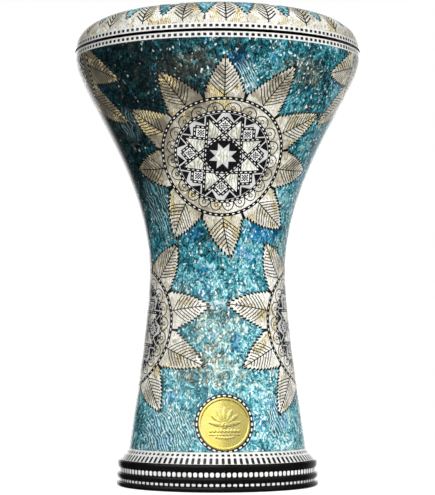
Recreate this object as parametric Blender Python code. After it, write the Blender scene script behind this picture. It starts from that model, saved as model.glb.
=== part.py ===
"""Darbuka (goblet drum): cast shell with a pearl inlay skin, a screwed tension ring and a film head.

Metres, +Z up. The drum stands on its open foot, the origin is on its axis at floor level, and the front
(main medallion and badge) looks along -Y. An azimuth of 0 is the front and grows towards +X.
"""

import math

import bmesh
import bpy
from mathutils import Matrix

SEGMENTS = 32
SHARP_ANGLE = 35.0
MERGE = 1e-6
GAP = 0.0003
CUTTER_REACH = 0.0020

# Finished outline of the body, as (radius, height).
RIM_RADIUS = 0.1397
RIM_TOP = 0.4176
RIM_STRAIGHT_END = 0.4125
WAIST_RADIUS = 0.0668
WAIST_HEIGHT = 0.2070
BOWL_PULL_TOP = 0.0311
BOWL_PULL_WAIST = 0.0936
STEM_END_RADIUS = 0.0862
STEM_END_HEIGHT = 0.0360
STEM_HANDLES = ((WAIST_RADIUS, 0.1650), (0.0795, 0.0850))
FLARE_END_RADIUS = 0.0950
FLARE_END_HEIGHT = 0.0252

# Foot: three turned beads with two inlaid bands in the grooves between them.
FOOT_GROOVE_RADIUS = 0.0958
FOOT_BEAD_RADII = (0.0968, 0.0975, 0.0980)
FOOT_BAND_UPPER = (0.0135, 0.0185)
FOOT_BAND_LOWER = (0.0051, 0.0080)
FOOT_EDGE_RADIUS = 0.0955
FOOT_INNER_RADIUS = 0.0905
FOOT_BORE_TOP = (0.0895, 0.0212)
BEAD_SHOULDERS = (0.3, 0.7)

# Wall and skin.
VENEER = 0.0008
SKIN = VENEER + GAP
WALL = 0.0035
BORDER_HEIGHT = 0.0052

# Rim flange and bearing edge.
FLANGE_TOP = 0.4168
FLANGE_BOTTOM = 0.4116
FLANGE_FILLET = (0.0030, 0.0040)
COLLAR_INNER_RADIUS = 0.1045
COLLAR_OUTER_RADIUS = 0.1085
BEARING_TOP = 0.4465
BEARING_INNER_EDGE = ((0.0, 0.0030), (0.0010, 0.0010), (0.0022, 0.0))
BEARING_OUTER_EDGE = ((0.0006, 0.0008), (0.0, 0.0026))

# Tension ring: an elliptic crown around the head.
RING_BOTTOM = 0.4204
RING_CENTRE_RADIUS = 0.0950
RING_SEMI_WIDTH = 0.0445
RING_SEMI_HEIGHT = 0.0286
RING_SPRING_HEIGHT = 0.4238
RING_BORE_RADIUS = 0.1105
RING_LOWER_BORE_RADIUS = 0.1153
RING_LIP_HEIGHT = 0.4320
RING_STEPS = 6
RING_VENEER_INNER_RADIUS = 0.1115

# Film head.
FILM = 0.0004
FILM_BOTTOM = BEARING_TOP + GAP
FILM_SKIRT_RADIUS = COLLAR_OUTER_RADIUS + 0.0004
FILM_SKIRT_END = 0.4432
FILM_COLLAR_END = 0.4275
FILM_OUTER_BEND = ((0.0019, 0.0), (0.0005, 0.0008), (0.0, 0.0024))
FILM_INNER_BEND = ((0.0, 0.0026), (0.0004, 0.0012))
FILM_INNER_FLAT = 0.0017
HOOP_RADII = (0.1097, 0.1148)
HOOP_HEIGHTS = (0.4268, 0.4317)

# Tension screws, M5 socket heads.
SCREW_COUNT = 8
SCREW_CIRCLE_RADIUS = 0.1200
SCREW_SIDES = 12
SCREW_RADIUS = 0.0025
SCREW_LENGTH = 0.0350
SCREW_HEAD_RADIUS = 0.00425
SCREW_HEAD_HEIGHT = 0.0050
SCREW_HEAD_CHAMFER = 0.0004
SCREW_POINT_CHAMFER = 0.0006
HEX_KEY_WIDTH = 0.0040
HEX_DEPTH = 0.0025
COUNTERBORE_RADIUS = 0.0048
COUNTERBORE_FLOOR = 0.4350
CLEARANCE_HOLE_RADIUS = 0.0030
WASHER_THICKNESS = 0.0008
WASHER_RADIUS = 0.0043
TAPPED_HOLE_RADIUS = 0.0029
TAPPED_HOLE_END = 0.3975
BOSS_RADIUS = 0.0065
BOSS_END = 0.3935
BOSS_BITE = 0.0010

# Inlaid medallions: (name, azimuth in degrees, height of the centre).
MEDALLION_RADIUS = 0.0560
MEDALLION_CLEARANCE = 0.0005
MEDALLION_SIDES = 24
MEDALLIONS = (
    ("medallion_front", 0.0, 0.3095),
    ("medallion_back", 180.0, 0.3095),
    ("medallion_left", -90.0, 0.1520),
    ("medallion_right", 90.0, 0.1520),
    ("rim_medallion_left", -90.0, 0.4150),
    ("rim_medallion_right", 90.0, 0.4150),
)

# Badge on the stem.
BADGE_AZIMUTH = 1.4
BADGE_HEIGHT = 0.0620
BADGE_RADIUS = 0.0245
BADGE_BORDER_WIDTH = 0.0029
BADGE_HOLE_RADIUS = BADGE_RADIUS + BADGE_BORDER_WIDTH + 2 * GAP


def clear_scene():
    for obj in list(bpy.data.objects):
        bpy.data.objects.remove(obj, do_unlink=True)


def finish(name, colour, roughness, metallic=0.0):
    """A Principled material."""
    material = bpy.data.materials.new(name)
    material.use_nodes = True
    shader = material.node_tree.nodes["Principled BSDF"]
    shader.inputs["Base Color"].default_value = (*colour, 1.0)
    shader.inputs["Roughness"].default_value = roughness
    shader.inputs["Metallic"].default_value = metallic
    return material


def add_object(name, mesh, material):
    mesh.materials.append(material)
    obj = bpy.data.objects.new(name, mesh)
    bpy.context.scene.collection.objects.link(obj)
    return obj


def cubic(start, handle_a, handle_b, end, steps):
    """Points of a cubic curve, the start left out."""
    points = []
    for step in range(1, steps + 1):
        t = step / steps
        weights = ((1 - t) ** 3, 3 * (1 - t) ** 2 * t, 3 * (1 - t) * t * t, t**3)
        controls = (start, handle_a, handle_b, end)
        points.append(tuple(sum(w * p[i] for w, p in zip(weights, controls)) for i in range(2)))
    return points


def body_outline(bowl_steps=6, stem_steps=3):
    """Finished outside of the body, from the rim down to the top of the foot."""
    bowl_top = (RIM_RADIUS, RIM_STRAIGHT_END)
    waist = (WAIST_RADIUS, WAIST_HEIGHT)
    stem_end = (STEM_END_RADIUS, STEM_END_HEIGHT)
    bowl_handles = (
        (RIM_RADIUS, RIM_STRAIGHT_END - BOWL_PULL_TOP),
        (WAIST_RADIUS, WAIST_HEIGHT + BOWL_PULL_WAIST),
    )
    outline = [(RIM_RADIUS, RIM_TOP), bowl_top]
    outline += cubic(bowl_top, *bowl_handles, waist, bowl_steps)
    outline += cubic(waist, *STEM_HANDLES, stem_end, stem_steps)
    return outline


def square_to(start, end):
    """Unit vector that points from a descending stretch of outline towards the axis."""
    length = math.dist(start, end)
    return ((end[1] - start[1]) / length, (start[0] - end[0]) / length)


def inset(outline, distance):
    """The outline moved towards the axis, each stretch by the same distance square to itself."""
    moved = []
    for index, (radius, height) in enumerate(outline):
        before = square_to(*outline[max(index - 1, 0) :][:2])
        after = square_to(*outline[: index + 2][-2:])
        total = (before[0] + after[0], before[1] + after[1])
        scale = 2 * distance / (total[0] ** 2 + total[1] ** 2)
        moved.append((radius + total[0] * scale, height + total[1] * scale))
    return moved


def between(outline, high, low):
    """The stretch of an outline between two heights, with its ends worked out."""

    def at(height):
        for (r0, z0), (r1, z1) in zip(outline, outline[1:]):
            if z1 <= height <= z0:
                return (r0 + (r1 - r0) * (z0 - height) / (z0 - z1), height)
        return outline[-1]

    inside = [point for point in outline if low + GAP < point[1] < high - GAP]
    return [at(high), *inside, at(low)]


def turned(name, outline, material, segments=SEGMENTS, on_axis=False):
    """A solid of revolution about Z. With on_axis, the outline's two ends lie on the axis."""
    build = bmesh.new()
    points = [build.verts.new((radius, 0.0, height)) for radius, height in outline]
    edges = [build.edges.new(pair) for pair in zip(points, points[1:])]
    if not on_axis:
        edges.append(build.edges.new((points[-1], points[0])))
    bmesh.ops.spin(
        build, geom=points + edges, axis=(0, 0, 1), cent=(0, 0, 0), angle=2 * math.pi, steps=segments
    )
    bmesh.ops.remove_doubles(build, verts=build.verts, dist=MERGE)
    bmesh.ops.recalc_face_normals(build, faces=build.faces)
    mesh = bpy.data.meshes.new(name)
    build.to_mesh(mesh)
    build.free()
    mesh.shade_smooth()
    mesh.set_sharp_from_angle(angle=math.radians(SHARP_ANGLE))
    return add_object(name, mesh, material)


def add_cylinder(build, radius, low, high, sides, place):
    """Adds a closed cylinder along its own Z, from low to high, moved by place."""
    middle = Matrix.Translation((0, 0, (low + high) / 2))
    bmesh.ops.create_cone(
        build,
        cap_ends=True,
        segments=sides,
        radius1=radius,
        radius2=radius,
        depth=high - low,
        matrix=place @ middle,
    )


def helper_from(build, name):
    """A hidden helper object that cuts or joins others."""
    mesh = bpy.data.meshes.new(name)
    build.to_mesh(mesh)
    build.free()
    obj = bpy.data.objects.new(name, mesh)
    bpy.context.scene.collection.objects.link(obj)
    obj.hide_render = True
    obj.display_type = "WIRE"
    return obj


def combine(target, helper, operation):
    modifier = target.modifiers.new(helper.name, "BOOLEAN")
    modifier.operation = operation
    modifier.object = helper


def facing(azimuth, height):
    """A frame on the axis whose Z points outwards at an azimuth in degrees."""
    turn = Matrix.Rotation(math.radians(azimuth), 4, "Z")
    outwards = Matrix.Rotation(math.radians(90), 4, "X")
    return Matrix.Translation((0, 0, height)) @ turn @ outwards


def screw_azimuths():
    pitch = 360 / SCREW_COUNT
    return [pitch * (index + 0.5) for index in range(SCREW_COUNT)]


def screw_place(azimuth):
    turn = math.radians(azimuth)
    return Matrix.Translation(
        (SCREW_CIRCLE_RADIUS * math.sin(turn), -SCREW_CIRCLE_RADIUS * math.cos(turn), 0)
    )


def screw_helper(name, radius, low, high):
    """One upright cylinder at each tension screw."""
    build = bmesh.new()
    for azimuth in screw_azimuths():
        add_cylinder(build, radius, low, high, SCREW_SIDES, screw_place(azimuth))
    return helper_from(build, name)


def radial_helper(name, azimuth, height, radius, sides=MEDALLION_SIDES):
    """A cylinder that points outwards through the skin."""
    build = bmesh.new()
    add_cylinder(build, radius, WAIST_RADIUS / 2, RIM_RADIUS * 1.1, sides, facing(azimuth, height))
    return helper_from(build, name)


def bead(top, bottom, bulge, edge_radius):
    """Outline of one turned bead of the foot, from top to bottom."""
    shoulders = [(bulge, top - (top - bottom) * share) for share in BEAD_SHOULDERS]
    return [(edge_radius, top), *shoulders, (edge_radius, bottom)]


def groove(top, bottom):
    """Outline of a band's groove in the foot."""
    floor = FOOT_GROOVE_RADIUS - SKIN
    return [(floor, top), (floor, bottom)]


def make_shell(material):
    """Cast shell: bell, waist and bowl, with the rim flange, the bearing edge and the screw bosses."""
    flare_end = (FLARE_END_RADIUS, FLARE_END_HEIGHT)
    outer = inset(body_outline() + [flare_end], SKIN)
    outer[0] = (outer[0][0], FLANGE_TOP)
    foot = [
        *bead(FLARE_END_HEIGHT - GAP, FOOT_BAND_UPPER[1], FOOT_BEAD_RADII[0], FOOT_GROOVE_RADIUS),
        *groove(FOOT_BAND_UPPER[1], FOOT_BAND_UPPER[0]),
        *bead(FOOT_BAND_UPPER[0], FOOT_BAND_LOWER[1], FOOT_BEAD_RADII[1], FOOT_GROOVE_RADIUS),
        *groove(FOOT_BAND_LOWER[1], FOOT_BAND_LOWER[0]),
        *bead(FOOT_BAND_LOWER[0], 0.0, FOOT_BEAD_RADII[2], FOOT_EDGE_RADIUS),
    ]
    wall_radius = RIM_RADIUS - SKIN - WALL
    inner = [
        (FOOT_INNER_RADIUS, 0.0),
        FOOT_BORE_TOP,
        *reversed(inset(body_outline(), SKIN + WALL)[2:]),
        (wall_radius, FLANGE_BOTTOM - FLANGE_FILLET[1]),
        (wall_radius - FLANGE_FILLET[0], FLANGE_BOTTOM),
        (COLLAR_INNER_RADIUS, FLANGE_BOTTOM),
        *((COLLAR_INNER_RADIUS + across, BEARING_TOP - down) for across, down in BEARING_INNER_EDGE),
        *((COLLAR_OUTER_RADIUS - across, BEARING_TOP - down) for across, down in BEARING_OUTER_EDGE),
        (COLLAR_OUTER_RADIUS, FLANGE_TOP),
    ]
    shell = turned("drum_shell", outer + foot + inner, material)
    bosses = screw_helper("boss_helper", BOSS_RADIUS, BOSS_END, FLANGE_TOP - BOSS_BITE)
    combine(shell, bosses, "UNION")
    above = FLANGE_TOP + CUTTER_REACH
    holes = screw_helper("tapped_hole_helper", TAPPED_HOLE_RADIUS, TAPPED_HOLE_END, above)
    combine(shell, holes, "DIFFERENCE")


def skin(name, outline, material):
    """A thin layer whose outside is the outline."""
    return turned(name, outline + list(reversed(inset(outline, VENEER))), material)


def body_skin(name, material):
    outline = between(body_outline(), RIM_TOP - BORDER_HEIGHT - GAP, STEM_END_HEIGHT + 2 * GAP)
    return skin(name, outline, material)


def make_body_inlay(pearl, medallion_pearl, resin, gold):
    """Pearl veneer with its medallions, and the badge in its border."""
    veneer = body_skin("body_pearl_veneer", pearl)
    for name, azimuth, height in MEDALLIONS:
        radius = MEDALLION_RADIUS + MEDALLION_CLEARANCE
        combine(veneer, radial_helper(name + "_opening", azimuth, height, radius), "DIFFERENCE")
        medallion = body_skin(name, medallion_pearl)
        helper = radial_helper(name + "_helper", azimuth, height, MEDALLION_RADIUS)
        combine(medallion, helper, "INTERSECT")
    place = (BADGE_AZIMUTH, BADGE_HEIGHT)
    hole = radial_helper("badge_opening", *place, BADGE_HOLE_RADIUS)
    combine(veneer, hole, "DIFFERENCE")
    border = body_skin("badge_border", resin)
    border_outer = radial_helper("badge_border_outer", *place, BADGE_RADIUS + BADGE_BORDER_WIDTH + GAP)
    border_inner = radial_helper("badge_border_inner", *place, BADGE_RADIUS + GAP)
    combine(border, border_outer, "INTERSECT")
    combine(border, border_inner, "DIFFERENCE")
    badge = body_skin("gold_badge", gold)
    combine(badge, radial_helper("badge_helper", *place, BADGE_RADIUS), "INTERSECT")


def make_bands(pearl):
    """Inlaid borders: under the rim, on the foot's flare and in the foot's two grooves."""
    rim = between(body_outline(), RIM_TOP, RIM_TOP - BORDER_HEIGHT)
    skin("rim_border_band", rim, pearl)
    flare_top = (STEM_END_RADIUS + GAP, STEM_END_HEIGHT)
    flare_end = (FLARE_END_RADIUS, FLARE_END_HEIGHT + GAP)
    skin("foot_flare_band", [flare_top, flare_end], pearl)
    for name, (bottom, top) in (
        ("foot_band_upper", FOOT_BAND_UPPER),
        ("foot_band_lower", FOOT_BAND_LOWER),
    ):
        band = [(FOOT_GROOVE_RADIUS, top - GAP), (FOOT_GROOVE_RADIUS, bottom + GAP)]
        skin(name, band, pearl)


def ring_crown(inset_by, inner_radius, low_height, steps):
    """Outside of the tension ring from its inner edge, over the crown, down to a height."""
    half_width = RING_SEMI_WIDTH - inset_by
    half_height = RING_SEMI_HEIGHT - inset_by
    start = math.acos((inner_radius - RING_CENTRE_RADIUS) / half_width)
    end = math.asin(max(low_height - RING_SPRING_HEIGHT, 0.0) / half_height)
    points = []
    for step in range(steps + 1):
        angle = start + (end - start) * step / steps
        radius = RING_CENTRE_RADIUS + half_width * math.cos(angle)
        points.append((radius, RING_SPRING_HEIGHT + half_height * math.sin(angle)))
    if low_height < RING_SPRING_HEIGHT:
        points.append((RING_CENTRE_RADIUS + half_width, low_height))
    return points


def make_ring(metal, pearl, border_pearl):
    """Tension ring with its pearl veneer and border, and a counterbored hole for each screw."""
    outline = ring_crown(SKIN, RING_BORE_RADIUS, RING_BOTTOM, RING_STEPS)
    outline += [
        (RING_LOWER_BORE_RADIUS, RING_BOTTOM),
        (RING_LOWER_BORE_RADIUS, RING_LIP_HEIGHT),
        (RING_BORE_RADIUS, RING_LIP_HEIGHT),
    ]
    ring = turned("tension_ring", outline, metal)
    above = RING_SPRING_HEIGHT + RING_SEMI_HEIGHT + CUTTER_REACH
    below = RING_BOTTOM - CUTTER_REACH
    counterbores = screw_helper("counterbore_helper", COUNTERBORE_RADIUS, COUNTERBORE_FLOOR, above)
    combine(ring, counterbores, "DIFFERENCE")
    clearance = screw_helper("clearance_helper", CLEARANCE_HOLE_RADIUS, below, above)
    combine(ring, clearance, "DIFFERENCE")

    border_top = RING_BOTTOM + BORDER_HEIGHT
    outer = ring_crown(0.0, RING_VENEER_INNER_RADIUS, border_top + GAP, RING_STEPS)
    inner = ring_crown(VENEER, RING_VENEER_INNER_RADIUS, border_top + GAP, RING_STEPS)
    veneer = turned("ring_pearl_veneer", outer + list(reversed(inner)), pearl)
    openings = screw_helper("veneer_hole_helper", COUNTERBORE_RADIUS + GAP, COUNTERBORE_FLOOR, above)
    combine(veneer, openings, "DIFFERENCE")

    border_radius = RING_CENTRE_RADIUS + RING_SEMI_WIDTH
    lean = ring_crown(0.0, RING_VENEER_INNER_RADIUS, border_top, 1)[-1]
    outline = [lean, (border_radius, RING_SPRING_HEIGHT), (border_radius, RING_BOTTOM)]
    skin("ring_border_band", outline, border_pearl)


def make_head(film, hoop_metal):
    """Film head: the playing surface, the collar that is drawn down over the bearing edge, and its hoop."""
    film_top = FILM_BOTTOM + FILM
    skirt_outer = FILM_SKIRT_RADIUS + FILM
    outline = [
        (0.0, film_top),
        *((skirt_outer - across, film_top - down) for across, down in FILM_OUTER_BEND),
        (skirt_outer, FILM_SKIRT_END),
        (FILM_SKIRT_RADIUS, FILM_SKIRT_END),
        *((FILM_SKIRT_RADIUS - across, film_top - down) for across, down in FILM_INNER_BEND),
        (FILM_SKIRT_RADIUS - FILM_INNER_FLAT, FILM_BOTTOM),
        (0.0, FILM_BOTTOM),
    ]
    turned("drumhead_membrane", outline, film, on_axis=True)
    collar_top = FILM_SKIRT_END - GAP
    collar = [
        (skirt_outer, collar_top),
        (skirt_outer, FILM_COLLAR_END),
        (FILM_SKIRT_RADIUS, FILM_COLLAR_END),
        (FILM_SKIRT_RADIUS, collar_top),
    ]
    turned("drumhead_collar", collar, film)
    inner, outer = HOOP_RADII
    low, high = HOOP_HEIGHTS
    hoop = [(outer, high), (outer, low), (inner, low), (inner, high)]
    turned("drumhead_hoop", hoop, hoop_metal)


def screw_mesh(material):
    """Mesh of a socket head screw on the Z axis, at its height in the drum."""
    head_bottom = COUNTERBORE_FLOOR + WASHER_THICKNESS + 2 * GAP
    head_top = head_bottom + SCREW_HEAD_HEIGHT
    point = head_bottom - SCREW_LENGTH
    outline = [
        (0.0, head_top),
        (SCREW_HEAD_RADIUS - SCREW_HEAD_CHAMFER, head_top),
        (SCREW_HEAD_RADIUS, head_top - SCREW_HEAD_CHAMFER),
        (SCREW_HEAD_RADIUS, head_bottom),
        (SCREW_RADIUS, head_bottom),
        (SCREW_RADIUS, point + SCREW_POINT_CHAMFER),
        (SCREW_RADIUS - SCREW_POINT_CHAMFER, point),
        (0.0, point),
    ]
    pattern = turned("screw_pattern", outline, material, SCREW_SIDES, on_axis=True)
    build = bmesh.new()
    corner_radius = HEX_KEY_WIDTH / math.sqrt(3)
    add_cylinder(build, corner_radius, head_top - HEX_DEPTH, head_top + CUTTER_REACH, 6, Matrix.Identity(4))
    socket = helper_from(build, "hex_socket_helper")
    combine(pattern, socket, "DIFFERENCE")
    graph = bpy.context.evaluated_depsgraph_get()
    mesh = bpy.data.meshes.new_from_object(pattern.evaluated_get(graph))
    mesh.name = "tension_screw"
    bpy.data.objects.remove(pattern)
    bpy.data.objects.remove(socket)
    return mesh


def washer_mesh(material):
    """Mesh of a flat washer on the Z axis, at its height in the drum."""
    low = COUNTERBORE_FLOOR + GAP
    high = low + WASHER_THICKNESS
    hole = SCREW_RADIUS + GAP
    outline = [(WASHER_RADIUS, high), (WASHER_RADIUS, low), (hole, low), (hole, high)]
    pattern = turned("washer_pattern", outline, material, SCREW_SIDES)
    mesh = pattern.data
    bpy.data.objects.remove(pattern)
    return mesh


def make_screws(steel):
    """The tension screws and their washers, each object with its origin on its screw's axis."""
    screw = screw_mesh(steel)
    washer = washer_mesh(steel)
    for number, azimuth in enumerate(screw_azimuths(), start=1):
        for name, mesh in ((f"tension_screw_{number}", screw), (f"screw_washer_{number}", washer)):
            obj = bpy.data.objects.new(name, mesh)
            bpy.context.scene.collection.objects.link(obj)
            obj.matrix_world = screw_place(azimuth)


def main():
    clear_scene()
    cast = finish("black_lacquered_aluminium", (0.012, 0.012, 0.013), 0.2, 0.2)
    ring_metal = finish("cast_aluminium", (0.62, 0.63, 0.64), 0.35, 1.0)
    hoop_metal = finish("hoop_aluminium", (0.70, 0.71, 0.72), 0.4, 1.0)
    steel = finish("screw_steel", (0.55, 0.56, 0.58), 0.25, 1.0)
    teal_pearl = finish("teal_pearl", (0.10, 0.33, 0.38), 0.15)
    cream_pearl = finish("cream_pearl", (0.72, 0.68, 0.55), 0.15)
    white_pearl = finish("white_pearl", (0.86, 0.86, 0.84), 0.15)
    black_resin = finish("black_resin", (0.01, 0.01, 0.01), 0.15)
    gold = finish("gold_badge", (0.83, 0.64, 0.18), 0.2, 1.0)
    film = finish("head_film", (0.93, 0.93, 0.92), 0.45)
    make_shell(cast)
    make_body_inlay(teal_pearl, cream_pearl, black_resin, gold)
    make_bands(white_pearl)
    make_ring(ring_metal, cream_pearl, white_pearl)
    make_head(film, hoop_metal)
    make_screws(steel)


main()
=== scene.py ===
"""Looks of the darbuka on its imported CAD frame: pearl inlay, lacquer, badge, ring, screws and film.

Metres, +Z up, the front along -Y. An azimuth is 0 at the front and grows towards +X. Inlay is drawn in
millimetres on flat patterns that are wrapped onto the turned surfaces.
"""

import math

import bmesh
import bpy
import numpy as np
from mathutils import Matrix, Vector
from mathutils.geometry import delaunay_2d_cdt

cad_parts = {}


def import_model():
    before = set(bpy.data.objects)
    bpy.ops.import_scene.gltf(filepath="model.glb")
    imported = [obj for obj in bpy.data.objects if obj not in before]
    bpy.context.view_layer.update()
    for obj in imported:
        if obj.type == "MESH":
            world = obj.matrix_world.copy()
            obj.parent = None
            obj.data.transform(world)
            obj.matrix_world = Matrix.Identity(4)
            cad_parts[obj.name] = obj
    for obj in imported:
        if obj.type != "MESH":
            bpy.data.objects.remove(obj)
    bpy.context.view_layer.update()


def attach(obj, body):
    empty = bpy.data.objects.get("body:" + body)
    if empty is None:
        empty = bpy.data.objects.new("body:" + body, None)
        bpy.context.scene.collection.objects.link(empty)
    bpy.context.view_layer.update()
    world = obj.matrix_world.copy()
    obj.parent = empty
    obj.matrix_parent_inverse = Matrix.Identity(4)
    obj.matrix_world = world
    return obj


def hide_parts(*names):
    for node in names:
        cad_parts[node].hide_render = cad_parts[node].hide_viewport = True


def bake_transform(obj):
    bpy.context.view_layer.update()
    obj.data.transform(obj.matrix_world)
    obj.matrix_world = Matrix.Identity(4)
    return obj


MM = 0.001
TURN = 2 * math.pi

# Body outline, as (radius, height).
RIM_RADIUS = 0.1397
RIM_TOP = 0.4176
RIM_STRAIGHT_END = 0.4125
BOWL_PULL_TOP = 0.0311
BOWL_PULL_WAIST = 0.0936
WAIST = (0.0668, 0.2070)
STEM_HANDLES = ((WAIST[0], 0.1650), (0.0795, 0.0850))
STEM_END = (0.0862, 0.0360)
FLARE_END = (0.0950, 0.0252)
BORDER_HEIGHT = 0.0052
GAP = 0.0003
SKIN = 0.0011
WALL = 0.0035

# Foot. A band is (bottom, top) and a bead's radius is at its middle.
FOOT_GROOVE_RADIUS = 0.0958
FOOT_BEAD_RADII = (0.0968, 0.0975, 0.0980)
FOOT_BAND_UPPER = (0.0135, 0.0185)
FOOT_BAND_LOWER = (0.0051, 0.0080)
FOOT_EDGE_RADIUS = 0.0955
FOOT_INNER_RADIUS = 0.0905
BEAD_STEPS = 12
BEAD_FULLNESS = 0.7

# Rim flange and bearing edge. The edge is (out from the collar's bore, down from the top) in mm.
FLANGE_TOP = 0.4168
FLANGE_BOTTOM = 0.4116
FLANGE_CHAMFER = (0.003, 0.004)
COLLAR_RADII = (0.1045, 0.1085)
BEARING_TOP = 0.4465
BEARING_EDGE = ((0.0, 3.0), (0.4, 1.8), (1.1, 0.7), (2.0, 0.0), (2.8, 0.3), (3.6, 1.1), (4.0, 2.6))

# Tension ring.
RING_BOTTOM = 0.4204
RING_CENTRE = (0.0950, 0.4238)
RING_SEMI_AXES = (0.0445, 0.0286)
RING_BORE_RADIUS = 0.1105
RING_LOWER_BORE_RADIUS = 0.1153
RING_LIP_HEIGHT = 0.4320
RING_VENEER_INNER_RADIUS = 0.1115

# Film head and hoop.
FILM = 0.0004
FILM_TOP = BEARING_TOP + GAP + FILM
FILM_RADIUS = COLLAR_RADII[1] + 0.0008
FILM_FLAT_RADII = (0.0, 0.03, 0.06, 0.09)
FILM_BEND_RADIUS = 0.0024
FILM_BEND_STEPS = 8
FILM_COLLAR_END = 0.4275
FILM_COLLAR_STEPS = 16
HOOP_RADII = (0.1097, 0.1148)
HOOP_HEIGHTS = (0.4268, 0.4317)
HOOP_CHAMFER = 0.0006

# Tension screws, M5 socket heads.
SCREW_COUNT = 8
SCREW_CIRCLE_RADIUS = 0.1200
SCREW_RADIUS = 0.0025
SCREW_LENGTH = 0.0350
SCREW_HEAD_RADIUS = 0.00425
SCREW_HEAD_HEIGHT = 0.0050
SCREW_CHAMFER = 0.0004
KNURLS = 40
KNURL_DEPTH = 0.00012
KNURL_MARGIN = 0.00015
KNURL_ENDS = (0.0007, 0.0009)
THREAD_PITCH = 0.0008
THREAD_DEPTH = 0.0006
THREAD_ROWS = 180
THREAD_SIDES = 24
THREAD_LEAD = 0.001
HEX_KEY_WIDTH = 0.0040
HEX_DEPTH = 0.0025
COUNTERBORE_RADIUS = 0.0048
COUNTERBORE_FLOOR = 0.4350
CLEARANCE_HOLE_RADIUS = 0.0030
WASHER_THICKNESS = 0.0008
WASHER_RADIUS = 0.0043
WASHER_CHAMFER = 0.00015
TAPPED_HOLE_RADIUS = 0.0029
TAPPED_HOLE_END = 0.3975
BOSS_RADIUS = 0.0065
BOSS_END = 0.3935
CUT_MARGIN = 0.002

# Leaves of a medallion, clockwise from the top: length from the centre in mm, and lean in degrees.
LEAF_TIP = 102.0
LEAVES = tuple((LEAF_TIP + 3.0 * math.sin(2.4 * index), 2.0 * math.cos(1.7 * index)) for index in range(10))
FRONT_LEAVES = (
    (100.5, 0.2), (110.2, -1.9), (108.2, -2.5), (103.1, -0.4), (106.7, 2.1),
    (100.5, 4.9), (99.0, 8.7), (95.2, 0.0), (100.7, -2.4), (102.5, 1.8),
)
RIM_LEAVES = (*LEAVES[:3], (102.0, -6.0), (110.0, 3.0), *LEAVES[5:])
MEDALLION_STRETCH = (1.01, 0.975)

# Medallions: (name, CAD node, azimuth in degrees, height of the centre, leaves).
MEDALLIONS = (
    ("front", "medallion_front", 0.0, 0.3095, FRONT_LEAVES),
    ("back", "medallion_back", 180.0, 0.3095, LEAVES),
    ("left", "medallion_left", -89.0, 0.1520, LEAVES),
    ("right", "medallion_right", 87.0, 0.1520, LEAVES),
    ("rim_left", "rim_medallion_left", -90.0, 0.4150, RIM_LEAVES),
    ("rim_right", "rim_medallion_right", 90.0, 0.4150, RIM_LEAVES),
)

# Badge on the stem: azimuth in degrees, height, and radii in mm.
BADGE_PLACE = (1.4, 0.0620)
BADGE_RADIUS = 24.5
BADGE_BORDER_RADIUS = 28.0

# Flat chart of a surface, in mm.
CHART_RADIUS = 100.0
CHART_PITCH = 3.6
CHART_ROW_RATIO = 0.87
CHART_TOLERANCE = 1e-4
EDGE_PITCH = 4.0
CURVE_REACH = 20.0

# Turned surfaces: steps around, and the angle in degrees past which an edge is sharp.
SEGMENTS = 144
SHARP = 35


# ---- outlines and turned surfaces


def cubic(controls, steps):
    """Points of a cubic curve from its four control points, the first left out."""
    points = []
    for step in range(1, steps + 1):
        t = step / steps
        weights = ((1 - t) ** 3, 3 * (1 - t) ** 2 * t, 3 * (1 - t) * t * t, t**3)
        points.append(tuple(sum(w * p[i] for w, p in zip(weights, controls)) for i in range(2)))
    return points


def body_outline(steps=48):
    """Finished outside of the body, from the rim down to the top of the foot."""
    bowl_top = (RIM_RADIUS, RIM_STRAIGHT_END)
    bowl_handles = ((RIM_RADIUS, RIM_STRAIGHT_END - BOWL_PULL_TOP), (WAIST[0], WAIST[1] + BOWL_PULL_WAIST))
    outline = [(RIM_RADIUS, RIM_TOP), (RIM_RADIUS, (RIM_TOP + RIM_STRAIGHT_END) / 2), bowl_top]
    outline += cubic((bowl_top, *bowl_handles, WAIST), steps)
    return outline + cubic((WAIST, *STEM_HANDLES, STEM_END), steps)


def ring_outline(inner_radius, depth=0.0, steps=40):
    """Outside of the tension ring, from an inner radius over the crown and down to its bottom edge."""
    half_width = RING_SEMI_AXES[0] - depth
    half_height = RING_SEMI_AXES[1] - depth
    start = math.acos((inner_radius - RING_CENTRE[0]) / half_width)
    points = []
    for step in range(steps + 1):
        angle = start * (1 - step / steps)
        radius = RING_CENTRE[0] + half_width * math.cos(angle)
        points.append((radius, RING_CENTRE[1] + half_height * math.sin(angle)))
    return [*points, (RING_CENTRE[0] + half_width, RING_BOTTOM)]


def inset(outline, distance):
    """The outline moved towards the axis, square to itself."""
    points = np.array(outline)
    tangents = np.gradient(points, axis=0)
    tangents /= np.hypot(*tangents.T)[:, None]
    return [tuple(point) for point in points + distance * np.stack((tangents[:, 1], -tangents[:, 0]), 1)]


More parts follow.
